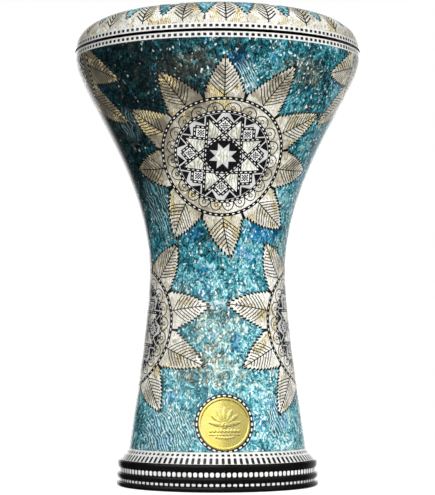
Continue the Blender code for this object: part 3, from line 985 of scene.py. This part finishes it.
def make_screw():
    """A socket head screw on the Z axis, with a rolled thread that tapers at its tip."""
    bottom = COUNTERBORE_FLOOR + WASHER_THICKNESS + 2 * GAP
    tip = bottom - SCREW_LENGTH

    def threaded(height):
        def radius(angles):
            turns = height / THREAD_PITCH - angles / TURN
            depth = 2 * np.abs(turns - np.floor(turns) - 0.5)
            ease = min(1.0, (height - tip) / THREAD_LEAD)
            return (SCREW_RADIUS - THREAD_DEPTH * depth) * (0.8 + 0.2 * ease)

        return radius

    length = bottom + 0.0005 - tip
    heights = [tip + length * step / THREAD_ROWS for step in range(THREAD_ROWS + 1)]
    build = bmesh.new()
    build.from_mesh(make_screw_head(bottom, bottom + SCREW_HEAD_HEIGHT))
    build.from_mesh(swept("screw_shank", [(threaded(height), height) for height in heights], THREAD_SIDES))
    return shaded(mesh_of(build, "tension_screw"), 40)


def make_washer():
    """A washer whose bore has a square lower edge."""
    low = COUNTERBORE_FLOOR + GAP
    hole = SCREW_RADIUS + GAP
    section = flat_ring((hole, WASHER_RADIUS), (low, low + WASHER_THICKNESS), WASHER_CHAMFER)
    section[4:6] = [(hole, low)]
    return turned("screw_washer", section, 48)


# ---- badge

# Emboss of the badge in mm: a raised rim, a fan of petals over a bud, lozenges, a line and beads.
BADGE_RINGS = 80
BADGE_SIDES = 240
BADGE_SINK = -0.2
BADGE_PLATE = 0.35
RELIEF = {"rim": 0.35, "petal": 0.32, "bud": 0.20, "lozenge": 0.18, "line": 0.16, "bead": 0.18}
BADGE_RIM = (22.3, 24.2)
PETALS = 7
PETAL_SPREAD = 26
PETAL_OUT = 9.5
PETAL_SIZE = (7.2, 2.3)
BUD_HEIGHT = -1.5
BUD_RADIUS = 2.6
LOZENGES = 9
LOZENGE_PITCH = 3.2
LOZENGE_SIZE = (1.45, 1.9)
LOZENGE_HEIGHT = -6.6
LINE_HEIGHT = -9.8
LINE_SIZE = (14.5, 0.45)
BEADS = 7
BEAD_PITCH = 2.6
BEAD_HEIGHT = -13.2
BEAD_ARC = 0.12


def smooth(edge, width, value):
    """1 inside an edge, 0 beyond it, eased over a width."""
    share = np.clip((edge - value) / width + 0.5, 0.0, 1.0)
    return share * share * (3 - 2 * share)


def spread(count):
    """Whole steps on both sides of 0."""
    return range(-(count // 2), count // 2 + 1)


def petal(u, v, step):
    """Share of the height of one petal of the fan: a pointed oval with a raised middle."""
    degrees = 90 + PETAL_SPREAD * step
    out = PETAL_OUT - 0.5 * abs(step)
    centre = (0.95 * polar(out, degrees)[0], BUD_HEIGHT + polar(out, degrees)[1])
    cos, sin = polar(1.0, degrees)
    along = ((u - centre[0]) * cos + (v - centre[1]) * sin) / PETAL_SIZE[0]
    across = (-(u - centre[0]) * sin + (v - centre[1]) * cos) / PETAL_SIZE[1]
    measure = np.sqrt(along**2 + (across * (1 + 0.6 * np.abs(along))) ** 2)
    return smooth(1.0, 0.35, measure) * (0.75 + 0.25 * smooth(0.45, 0.3, measure))


def emboss(u, v):
    """Height of the badge in mm over flat places."""
    radius = np.hypot(u, v)
    height = np.full(u.shape, BADGE_PLATE)
    height += RELIEF["rim"] * smooth(BADGE_RIM[1], 0.5, radius) * smooth(-BADGE_RIM[0], 0.7, -radius)
    height += RELIEF["petal"] * np.max([petal(u, v, step) for step in spread(PETALS)], axis=0)
    height += RELIEF["bud"] * smooth(BUD_RADIUS, 0.5, np.hypot(u, v - BUD_HEIGHT))
    for step in spread(LOZENGES):
        aside = np.abs(u - LOZENGE_PITCH * step) / LOZENGE_SIZE[0]
        measure = aside + np.abs(v - LOZENGE_HEIGHT) / LOZENGE_SIZE[1]
        height += RELIEF["lozenge"] * smooth(1.0, 0.35, measure)
    stripe = smooth(LINE_SIZE[1], 0.3, np.abs(v - LINE_HEIGHT)) * smooth(LINE_SIZE[0], 0.5, np.abs(u))
    height += RELIEF["line"] * stripe
    for step in spread(BEADS):
        measure = np.hypot(u - BEAD_PITCH * step, v - BEAD_HEIGHT - BEAD_ARC * step**2)
        height += RELIEF["bead"] * smooth(1.0, 0.35, measure)
    return height


def make_badge():
    """Embossed disc laid on the stem, with an edge that reaches under the veneer's surface."""
    surface = Surface(body_outline())
    radii = np.linspace(0.4, BADGE_RADIUS, BADGE_RINGS)
    radii = np.append(radii, BADGE_RADIUS)
    angles = TURN * np.arange(BADGE_SIDES) / BADGE_SIDES
    u = np.outer(radii, np.cos(angles)).ravel()
    v = np.outer(radii, np.sin(angles)).ravel()
    height = emboss(u, v)
    height[-BADGE_SIDES:] = BADGE_SINK
    places = surface.places(*surface.unroll(*BADGE_PLACE)(np.stack((u, v), 1)), height)
    faces = [(a, d, c, b) for a, b, c, d in grid_faces(len(radii), BADGE_SIDES)]
    return shaded(mesh_from("gold_badge_face", places, [range(BADGE_SIDES), *faces]), 60)


# ---- materials

# Sockets of a Mix node that mixes colours.
COLOUR_A = 6
COLOUR_B = 7
COLOUR_RESULT = 2

LACQUER = {"Coat_Weight": 1.0, "Coat_Roughness": 0.04, "Coat_IOR": 1.5, "Specular_IOR_Level": 0.15}


class Nodes:
    """Short ways to add nodes to a shader tree."""

    def __init__(self, tree):
        self.tree = tree

    def feed(self, socket, value):
        """Links a socket to another or sets its value. A colour is given as three numbers."""
        if isinstance(value, bpy.types.NodeSocket):
            self.tree.links.new(value, socket)
        elif socket.type == "RGBA":
            socket.default_value = (*value, 1.0)
        else:
            socket.default_value = value

    def node(self, kind, inputs, **settings):
        node = self.tree.nodes.new("ShaderNode" + kind)
        for key, value in settings.items():
            setattr(node, key, value)
        for key, value in inputs.items():
            self.feed(node.inputs[key], value)
        return node

    def axes(self, vector):
        return self.node("SeparateXYZ", {"Vector": vector}).outputs

    def span(self, value, low, high, to_low=0.0, to_high=1.0):
        """The value's way from low to high, eased."""
        inputs = {"Value": value, "From Min": low, "From Max": high, "To Min": to_low, "To Max": to_high}
        return self.node("MapRange", inputs, interpolation_type="SMOOTHSTEP").outputs["Result"]

    def sum(self, *terms):
        """Weighted sum of (socket, weight) pairs."""
        total = 0.0
        for socket, weight in terms:
            total = self.node("Math", {0: socket, 1: weight, 2: total}, operation="MULTIPLY_ADD").outputs[0]
        return total

    def times(self, a, b):
        return self.node("Math", {0: a, 1: b}, operation="MULTIPLY").outputs[0]


class Finish(Nodes):
    """A node material on object coordinates, in metres."""

    def __init__(self, name, **values):
        self.material = bpy.data.materials.new(name)
        self.material.use_nodes = True
        super().__init__(self.material.node_tree)
        self.shader = self.tree.nodes["Principled BSDF"]
        self.place = self.node("TexCoord", {}).outputs["Object"]
        for socket, value in values.items():
            self.shader.inputs[socket.replace("_", " ")].default_value = value

    def scaled(self, scale, vector):
        return self.node("Mapping", {"Vector": vector, "Scale": scale}).outputs["Vector"]

    def noise(self, scale, detail=2.0, roughness=0.5, distortion=0.0, vector=None, output="Fac"):
        inputs = {"Scale": scale, "Detail": detail, "Roughness": roughness, "Distortion": distortion}
        return self.node("TexNoise", {"Vector": vector or self.place, **inputs}).outputs[output]

    def wave(self, scale, distortion, detail, detail_scale=1.0, vector=None):
        inputs = {"Scale": scale, "Distortion": distortion, "Detail": detail, "Detail Scale": detail_scale}
        return self.node("TexWave", {"Vector": vector or self.place, **inputs}).outputs["Fac"]

    def cells(self, scale, vector=None):
        """Three random numbers for each cell of a mosaic: Red, Green and Blue."""
        colour = self.node("TexVoronoi", {"Vector": vector or self.place, "Scale": scale}).outputs["Color"]
        return self.node("SeparateColor", {"Color": colour}).outputs

    def ramp(self, value, *stops):
        """Colours along a value, from (position, colour) stops."""
        node = self.node("ValToRGB", {"Fac": value})
        elements = node.color_ramp.elements
        while len(elements) < len(stops):
            elements.new(0.5)
        for element, (position, colour) in zip(elements, stops):
            element.position = position
            element.color = (*colour, 1.0)
        return node.outputs["Color"]

    def mix(self, factor, a, b, blend="MIX"):
        inputs = {"Factor": factor, COLOUR_A: a, COLOUR_B: b}
        return self.node("Mix", inputs, data_type="RGBA", blend_type=blend).outputs[COLOUR_RESULT]

    def zones(self, ovals, vector):
        """1 inside ovals of (x, height, half width, half height) on the front, 0 outside."""
        surface = Surface(body_outline())
        inside = 0.0
        for x, height, half_width, half_height in ovals:
            y = -math.sqrt(float(surface.radius(surface.down_at(height))) ** 2 - x**2)
            scale = (1 / half_width, 1 / half_width, 1 / half_height)
            location = tuple(-value * factor for value, factor in zip((x, y, height), scale))
            mapping = self.node("Mapping", {"Vector": vector, "Location": location, "Scale": scale})
            length = self.node("VectorMath", {0: mapping.outputs["Vector"]}, operation="LENGTH")
            here = self.span(length.outputs["Value"], 1.15, 0.65)
            inside = self.node("Math", {0: here, 1: inside}, operation="MAXIMUM").outputs[0]
        return inside

    def done(self, colour, roughness, height, distance, strength):
        """The material with its colour, roughness and relief."""
        bump = self.node("Bump", {"Height": height, "Distance": distance, "Strength": strength})
        inputs = {"Base Color": colour, "Roughness": roughness, "Normal": bump.outputs["Normal"]}
        for name, value in inputs.items():
            self.feed(self.shader.inputs[name], value)
        return self.material


# Tone of the shell: where it darkens towards the rim along Z (partly the dye, partly painted shade on the
# bowl's downward side), the drum's left side along X that gets painted shade, and the left's own fall along
# Z.
DYE_AND_SHADE_FALL = (0.37, 0.12)
PAINTED_SHADE_SIDE = (-0.11, 0.04)
PAINTED_SHADE_LEFT_FALL = (0.30, 0.18)
PAINTED_SHADE_LEFT_REST = 0.3
# Painted light on the ring's crown, which faces up: its tone is lifted back out of the painted shade near the
# rim.
CROWN_PAINTED_LIGHT = 0.13

# Ovals of the teal field as seen from the front: (x, height, half width, half height) in metres.
BLUE_ZONES = (
    (0.045, 0.246, 0.024, 0.012),
    (-0.026, 0.243, 0.012, 0.011),
    (-0.016, 0.186, 0.007, 0.006),
    (0.018, 0.146, 0.004, 0.014),
    (0.116, 0.392, 0.014, 0.010),
    (0.014, 0.394, 0.014, 0.014),
)
RIPPLE_ZONES = (
    (-0.052, 0.058, 0.036, 0.024),
    (-0.060, 0.268, 0.020, 0.034),
    (0.022, 0.380, 0.014, 0.018),
    (-0.088, 0.345, 0.022, 0.016),
    (0.055, 0.070, 0.012, 0.020),
)
KHAKI_ZONES = (
    (-0.032, 0.392, 0.030, 0.014),
    (0.080, 0.390, 0.030, 0.014),
    (-0.002, 0.155, 0.028, 0.026),
    (-0.006, 0.116, 0.036, 0.018),
)
PALE_ZONES = (
    (-0.003, 0.177, 0.016, 0.004),
    (0.020, 0.372, 0.016, 0.010),
)


def dye_and_painted_shade(finish, top, bottom, left):
    """Tone of the shell: darker near the rim, partly dye and partly painted shade, with extra painted shade
    towards the drum's left; the ring's crown is lifted back out of it as painted light.
    """
    axes = finish.axes(finish.place)
    # Darker towards the rim: partly the dye, partly painted shade where the bowl faces down.
    fall = finish.span(axes["Z"], *DYE_AND_SHADE_FALL, top, bottom)
    # Painted shade towards the drum's left. It fades down the body and is kept off the ring.
    side = finish.span(axes["X"], *PAINTED_SHADE_SIDE, 1.0, 0.0)
    extra = finish.span(axes["Z"], *PAINTED_SHADE_LEFT_FALL, left, PAINTED_SHADE_LEFT_REST * left)
    body = finish.span(axes["Z"], RING_BOTTOM, RIM_TOP)
    # Painted light: the ring's upward-facing crown is lifted out of the painted shade.
    crown = finish.span(axes["Z"], RIM_TOP, RING_BOTTOM, 0.0, CROWN_PAINTED_LIGHT)
    return finish.sum((fall, 1.0), (side, finish.times(extra, body)), (crown, 1.0))


def dyed_shell(finish, tone, chip, place):
    """Teal shell with khaki, blue and pale patches."""
    teal = finish.ramp(
        tone,
        (0.20, (0.001, 0.005, 0.006)),
        (0.38, (0.009, 0.033, 0.040)),
        (0.50, (0.010, 0.110, 0.140)),
        (0.62, (0.032, 0.275, 0.345)),
        (0.73, (0.150, 0.475, 0.540)),
        (0.86, (0.480, 0.740, 0.740)),
        (0.97, (0.880, 0.960, 0.940)),
    )
    khaki = finish.ramp(
        tone,
        (0.30, (0.030, 0.028, 0.020)),
        (0.50, (0.11, 0.12, 0.09)),
        (0.68, (0.30, 0.41, 0.35)),
        (0.92, (0.72, 0.80, 0.68)),
    )
    blue = finish.ramp(
        tone, (0.30, (0.001, 0.03, 0.07)), (0.62, (0.001, 0.12, 0.30)), (0.95, (0.01, 0.32, 0.60))
    )
    blotch = finish.sum((chip["Green"], 0.6), (finish.noise(38.0), 0.9))
    khaki_share = finish.sum(
        (finish.span(blotch, 0.90, 1.04), 0.6),
        (finish.zones(KHAKI_ZONES, place), finish.span(chip["Green"], 0.1, 0.7, 0.15, 0.8)),
    )
    blue_share = finish.sum(
        (finish.span(finish.noise(30.0), 0.60, 0.68), 0.55),
        (finish.zones(BLUE_ZONES, place), finish.span(chip["Blue"], 0.1, 0.6, 0.3, 0.9)),
    )
    pale_share = finish.times(finish.zones(PALE_ZONES, place), finish.span(chip["Green"], 0.2, 0.8, 0.1, 0.7))
    dyed = finish.mix(blue_share, finish.mix(khaki_share, teal, khaki), blue)
    return finish.mix(pale_share, dyed, (0.66, 0.80, 0.84))


def rippled_shell(finish, dyed, ripple, depth, place):
    """Light crests and dark troughs on some shell: chosen places in front, scattered ones behind. The crests
    are the shell's ripples with a painted sheen that fades where the painted shade is deeper.
    """
    scattered = finish.span(finish.noise(15.0, 1.0), 0.58, 0.64)
    back = finish.span(finish.axes(finish.place)["Y"], 0.0, 0.02)
    rippled = finish.sum((finish.zones(RIPPLE_ZONES, place), 1.0), (scattered, back))
    crest = finish.times(finish.span(ripple, 0.62, 0.95), rippled)
    trough = finish.times(finish.span(ripple, 0.40, 0.05), rippled)
    shaded_sheet = finish.mix(finish.times(trough, 0.80), dyed, (0.004, 0.045, 0.060))
    # Painted sheen on the crests, weaker where the painted shade is deeper.
    sheen = finish.span(depth, -0.40, -0.10, 0.20, 0.60)
    return finish.mix(finish.times(crest, sheen), shaded_sheet, (0.60, 0.82, 0.82))


def teal_pearl():
    """Dyed shell chips pressed into a mosaic: flakes, painted glints, rippled shell and clouds of deeper dye,
    under painted shade towards the rim and the drum's left.
    """
    finish = Finish("teal_pearl", **LACQUER)
    warp = {0: finish.noise(70.0, output="Color"), 1: (0.008, 0.008, 0.008), 2: finish.place}
    place = finish.node("VectorMath", warp, operation="MULTIPLY_ADD").outputs[0]
    plate = finish.cells(150.0, place)
    chip = finish.cells(330.0, finish.scaled((1.0, 1.0, 0.6), place))
    fine = finish.scaled((1.0, 1.0, 0.7), place)
    grain = finish.cells(800.0, fine)
    spark = finish.cells(700.0, fine)
    cloud = finish.noise(30.0, 3.0, 0.6)
    # Painted shade, partly dye: the tone darkens towards the rim and the drum's left.
    depth = dye_and_painted_shade(finish, -0.115, 0.03, -0.34)
    tone = finish.sum(
        (plate["Red"], 0.14), (chip["Red"], 0.19), (grain["Red"], 0.36), (cloud, 0.58), (depth, 1.0)
    )
    sheet = finish.node("VectorRotate", {"Vector": place, "Angle": 0.4}, rotation_type="Y_AXIS").outputs[0]
    ripple = finish.wave(135.0, 7.0, 1.5, 0.5, sheet)
    shell = rippled_shell(finish, dyed_shell(finish, tone, chip, place), ripple, depth, place)
    pit = finish.span(spark["Red"], 0.90, 0.96, 0.0, 0.75)
    # Painted glints: white specks standing in for light off the chips, fewer where the painted shade is
    # deeper.
    glint = finish.span(finish.sum((spark["Blue"], 1.0), (depth, 0.14)), 0.915, 0.965, 0.0, 0.8)
    colour = finish.mix(glint, finish.mix(pit, shell, (0.006, 0.055, 0.065)), (0.92, 0.98, 0.95))
    roughness = finish.span(grain["Blue"], 0.0, 1.0, 0.22, 0.5)
    return finish.done(colour, roughness, finish.sum((chip["Blue"], 0.5), (ripple, 0.4)), 0.0003, 0.3)


def cream_pearl():
    """Natural shell: cream plates with golden stains, grey clouds and fine growth lines, darker near the rim
    (partly the shell's tone, partly painted shade) and with painted shade towards the drum's left.
    """
    finish = Finish("cream_pearl", **LACQUER)
    stain = finish.noise(48.0, 3.0, 0.6, 0.8)
    cloud = finish.noise(26.0, vector=finish.scaled((1.0, 1.0, 1.4), finish.place))
    growth = finish.wave(170.0, 16.0, 2.0)
    mottle = finish.noise(260.0, 3.0, 0.65)
    plates = finish.cells(150.0)
    # Painted shade, partly the shell's own tone: darker towards the rim and the drum's left.
    depth = dye_and_painted_shade(finish, -0.16, 0.02, -0.36)
    cream = finish.ramp(
        finish.sum((cloud, 0.8), (plates["Red"], 0.20), (mottle, 0.45), (depth, 1.0)),
        (0.30, (0.17, 0.15, 0.11)),
        (0.45, (0.38, 0.35, 0.27)),
        (0.60, (0.68, 0.66, 0.56)),
        (0.80, (0.94, 0.93, 0.87)),
    )
    golden = finish.ramp(
        finish.sum((growth, 0.5), (mottle, 0.8)),
        (0.25, (0.13, 0.08, 0.03)),
        (0.55, (0.40, 0.31, 0.12)),
        (0.85, (0.80, 0.70, 0.40)),
    )
    stained = finish.mix(finish.span(stain, 0.53, 0.61, 0.0, 0.9), cream, golden)
    lined = finish.mix(finish.times(finish.span(growth, 0.35, 0.0), 0.55), stained, (0.12, 0.09, 0.045))
    return finish.done(lined, finish.span(cloud, 0.3, 0.7, 0.25, 0.45), growth, 0.0002, 0.25)


def white_pearl(name, shade):
    """Pale shell in small plates, darkened by a shade."""
    finish = Finish(name, **LACQUER)
    cloud = finish.noise(90.0, 3.0)
    plates = finish.cells(210.0)
    tones = ((0.2, (0.66, 0.66, 0.62)), (0.5, (0.84, 0.84, 0.81)), (0.8, (0.93, 0.93, 0.92)))
    pale = finish.ramp(finish.sum((cloud, 0.7), (plates["Red"], 0.3)), *tones)
    colour = finish.mix(1.0, pale, shade, "MULTIPLY")
    return finish.done(colour, finish.span(cloud, 0.3, 0.7, 0.2, 0.4), plates["Green"], 0.0001, 0.2)


def ivory_pearl():
    """Paler shell with faint green and grey growth bands."""
    finish = Finish("ivory_pearl", **LACQUER)
    cloud = finish.noise(60.0, 3.0, 0.6)
    growth = finish.wave(110.0, 14.0, 2.0)
    tones = ((0.36, (0.32, 0.31, 0.25)), (0.50, (0.60, 0.60, 0.52)), (0.66, (0.82, 0.82, 0.77)))
    colour = finish.ramp(finish.sum((cloud, 0.75), (growth, 0.25)), *tones)
    return finish.done(colour, finish.span(cloud, 0.3, 0.7, 0.2, 0.4), growth, 0.0002, 0.2)


def grained(name, cloud, tones, grain, roughness, distance, strength, **values):
    """A finish in two clouded tones with a fine grain; cloud and grain are noise settings."""
    finish = Finish(name, **values)
    colour = finish.ramp(finish.noise(*cloud), *tones)
    fine = finish.noise(*grain)
    return finish.done(colour, finish.span(fine, 0.3, 0.7, *roughness), fine, distance, strength)


def black_resin():
    speckle = (900.0, 2.0)
    tones = ((0.35, (0.003, 0.003, 0.004)), (0.75, (0.012, 0.012, 0.012)))
    return grained("black_resin", speckle, tones, speckle, (0.2, 0.4), 0.00005, 0.2, **LACQUER)


def black_lacquer():
    """Sprayed black lacquer on cast metal, with a faint orange peel."""
    finish = Finish("black_lacquer", Specular_IOR_Level=0.2)
    dust = finish.noise(1400.0, 3.0, 0.7)
    colour = finish.ramp(dust, (0.55, (0.004, 0.004, 0.0045)), (0.80, (0.022, 0.022, 0.021)))
    return finish.done(colour, finish.span(dust, 0.3, 0.75, 0.07, 0.22), finish.noise(260.0), 0.00015, 0.12)


def gold():
    tones = ((0.3, (1.0, 0.80, 0.16)), (0.7, (1.0, 0.88, 0.32)))
    satin = (500.0, 3.0, 0.6)
    return grained("polished_gold", (60.0, 2.0), tones, satin, (0.16, 0.30), 0.00008, 0.1, Metallic=0.85)


def cast_metal():
    """Satin machined aluminium with fine turning marks."""
    finish = Finish("cast_metal", Metallic=1.0)
    grain = finish.noise(420.0, 4.0, 0.65)
    turning = finish.noise(700.0, 1.0, vector=finish.scaled((0.05, 0.05, 4.0), finish.place))
    colour = finish.ramp(grain, (0.3, (0.50, 0.51, 0.52)), (0.7, (0.68, 0.69, 0.70)))
    height = finish.sum((grain, 0.5), (turning, 0.5))
    return finish.done(colour, finish.span(turning, 0.3, 0.7, 0.25, 0.42), height, 0.0001, 0.3)


def screw_steel():
    tones = ((0.3, (0.46, 0.47, 0.50)), (0.7, (0.66, 0.67, 0.68)))
    grain = (1500.0, 3.0, 0.6)
    return grained("zinc_plated_steel", (300.0, 2.0), tones, grain, (0.2, 0.38), 0.00004, 0.3, Metallic=1.0)


def head_film():
    """Coated polyester: a fine sprayed grain under a faint haze."""
    tones = ((0.3, (0.73, 0.73, 0.71)), (0.7, (0.83, 0.83, 0.815)))
    haze = (22.0, 3.0, 0.6)
    grain = (1600.0, 3.0, 0.7)
    return grained("coated_film", haze, tones, grain, (0.38, 0.55), 0.00008, 0.35, Specular_IOR_Level=0.35)


def floor_paper():
    finish = Finish("studio_floor", Specular_IOR_Level=0.0, Roughness=0.9, Emission_Strength=0.8)
    colour = finish.ramp(finish.noise(6.0, 3.0), (0.3, (0.92, 0.92, 0.92)), (0.7, (0.94, 0.94, 0.94)))
    finish.feed(finish.shader.inputs["Base Color"], colour)
    finish.feed(finish.shader.inputs["Emission Color"], (1.0, 1.0, 1.0))
    return finish.material


# ---- studio

CAMERA_DISTANCE = 1.68
CAMERA_HEIGHT = 0.133
CAMERA_AZIMUTH = -3.2
CAMERA_PITCH = 3.304
CAMERA_LENS = 125.3
CAMERA_SENSOR = 36.0
WORLD_FILL = 0.16
WORLD_EDGE_GLOSS = 1.6
FLOOR_RADIUS = 0.8
FLOOR_DROP = 0.0005

# Soft lights: (name, place, target, size, power).
SOFTBOXES = (
    ("softbox_top", (0.2, -0.5, 1.7), (0.0, 0.0, 0.2), (1.3, 1.1), 20.0),
    ("softbox_front", (0.25, -2.1, 0.9), (0.0, 0.0, 0.25), (0.7, 0.9), 25.0),
    ("softbox_back", (-0.6, 1.5, 1.2), (0.0, 0.0, 0.25), (0.9, 0.9), 5.0),
)


def make_camera():
    data = bpy.data.cameras.new("camera")
    data.lens = CAMERA_LENS
    data.sensor_width = CAMERA_SENSOR
    camera = new_object("camera", data)
    azimuth = math.radians(CAMERA_AZIMUTH)
    across = CAMERA_DISTANCE * math.sin(azimuth)
    camera.location = (across, -CAMERA_DISTANCE * math.cos(azimuth), CAMERA_HEIGHT)
    camera.rotation_euler = (math.radians(90 + CAMERA_PITCH), 0.0, azimuth)
    bpy.context.scene.camera = camera


def add_softbox(name, place, target, size, power):
    data = bpy.data.lights.new(name, "AREA")
    data.shape = "RECTANGLE"
    data.size, data.size_y = size
    data.energy = power
    light = new_object(name, data)
    light.location = place
    light.rotation_euler = (Vector(target) - Vector(place)).to_track_quat("-Z", "Y").to_euler()
    light.visible_camera = False
    light.visible_glossy = False


def make_world():
    """Even light for the shading; for the gloss, bright edges behind and a soft light upper left."""
    world = bpy.data.worlds.new("studio")
    bpy.context.scene.world = world
    world.use_nodes = True
    nodes = Nodes(world.node_tree)
    axes = nodes.axes(nodes.node("TexCoord", {}).outputs["Generated"])
    rays = nodes.node("LightPath", {}).outputs
    edge = nodes.span(axes["Y"], 0.82, 0.98, 0.0, WORLD_EDGE_GLOSS)
    right = nodes.times(nodes.span(axes["Y"], 0.40, 0.85, 0.0, 0.5), nodes.span(axes["X"], 0.0, 0.5))
    left = nodes.span(axes["X"], 0.06, 0.01, 0.40, 1.0)
    above = nodes.times(nodes.span(axes["Z"], 0.02, 0.42, 0.04, 2.0), left)
    ahead = nodes.times(above, nodes.span(axes["Y"], 0.2, -0.4, 0.1, 1.0))
    gloss = nodes.sum((edge, 1.0), (right, 1.0), (ahead, 1.0))
    strength = WORLD_FILL
    for ray, light in (("Is Glossy Ray", gloss), ("Is Camera Ray", 1.0)):
        strength = nodes.node("Mix", {"Factor": rays[ray], "A": strength, "B": light}).outputs["Result"]
    background = world.node_tree.nodes["Background"]
    nodes.feed(background.inputs["Color"], (1.0, 1.0, 1.0))
    nodes.feed(background.inputs["Strength"], strength)


def make_studio():
    around = disc(FLOOR_RADIUS, 96)
    mesh = mesh_from("floor", [(x, y, 0.0) for x, y in around], [range(len(around))])
    mesh.materials.append(floor_paper())
    floor = new_object("floor", mesh)
    floor.location = (0.0, 0.0, -FLOOR_DROP)
    floor.visible_glossy = False
    for softbox in SOFTBOXES:
        add_softbox(*softbox)
    make_world()
    view = bpy.context.scene.view_settings
    view.view_transform = "Standard"
    view.look = "None"


# ---- assembly

INLAY_NODES = {
    "body_front_teal": "body_pearl_veneer",
    "rim_border_white": "rim_border_band",
    "badge_border_lines": "badge_border",
    "ring_pearl": "ring_pearl_veneer",
    "ring_border_white": "ring_border_band",
    "foot_flare_white": "foot_flare_band",
    "foot_upper_white": "foot_band_upper",
    "foot_lower_white": "foot_band_lower",
    **{name + "_medallion_pearl": node for name, node, *_ in MEDALLIONS},
}


def add_inlay():
    """The inlaid pieces; the last part of a piece's name says what it is made of."""
    finishes = {
        "teal": (teal_pearl(), "teal_pearl"),
        "pearl": (cream_pearl(), "cream_pearl"),
        "white": (white_pearl("white_pearl", (0.95, 0.95, 0.95)), "white_pearl"),
        "silver": (white_pearl("silver_pearl", (0.68, 0.68, 0.69)), "white_pearl"),
        "ivory": (ivory_pearl(), "cream_pearl"),
        "lines": (black_resin(), "black_resin"),
    }
    drum = make_body_inlay() | make_foot_inlay()
    for body, meshes in (("drum", drum), ("ring", make_ring_inlay())):
        for name, mesh in meshes.items():
            material, slot = finishes[name.rsplit("_", 1)[1]]
            nodes = [INLAY_NODES[name]] if name in INLAY_NODES else []
            new_piece(name, mesh, material, body, slot, *nodes)


def add_metal_and_film():
    metal = cast_metal()
    lacquer = black_lacquer()
    new_piece("shell_casting", make_shell(), lacquer, "drum", "black_lacquered_aluminium", "drum_shell")
    new_piece("ring_casting", make_ring_casting(), metal, "ring", "cast_aluminium", "tension_ring")
    new_piece("head_hoop", make_hoop(), metal, "ring", "hoop_aluminium", "drumhead_hoop")
    new_piece("gold_badge_face", make_badge(), gold(), "drum", "gold_badge", "gold_badge")
    film = new_piece(
        "head_film", make_film(), head_film(), None, "head_film", "drumhead_membrane", "drumhead_collar"
    )
    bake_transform(film)


def add_screws():
    steel = screw_steel()
    for number, place in enumerate(screw_places(), start=1):
        for name, mesh, body, node in (
            (f"screw_{number}", make_screw(), f"screw_{number}", f"tension_screw_{number}"),
            (f"washer_{number}", make_washer(), "ring", f"screw_washer_{number}"),
        ):
            mesh.transform(place)
            new_piece(name, mesh, steel, body, "screw_steel", node)


def main():
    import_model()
    make_camera()
    add_inlay()
    add_metal_and_film()
    add_screws()
    make_studio()


main()
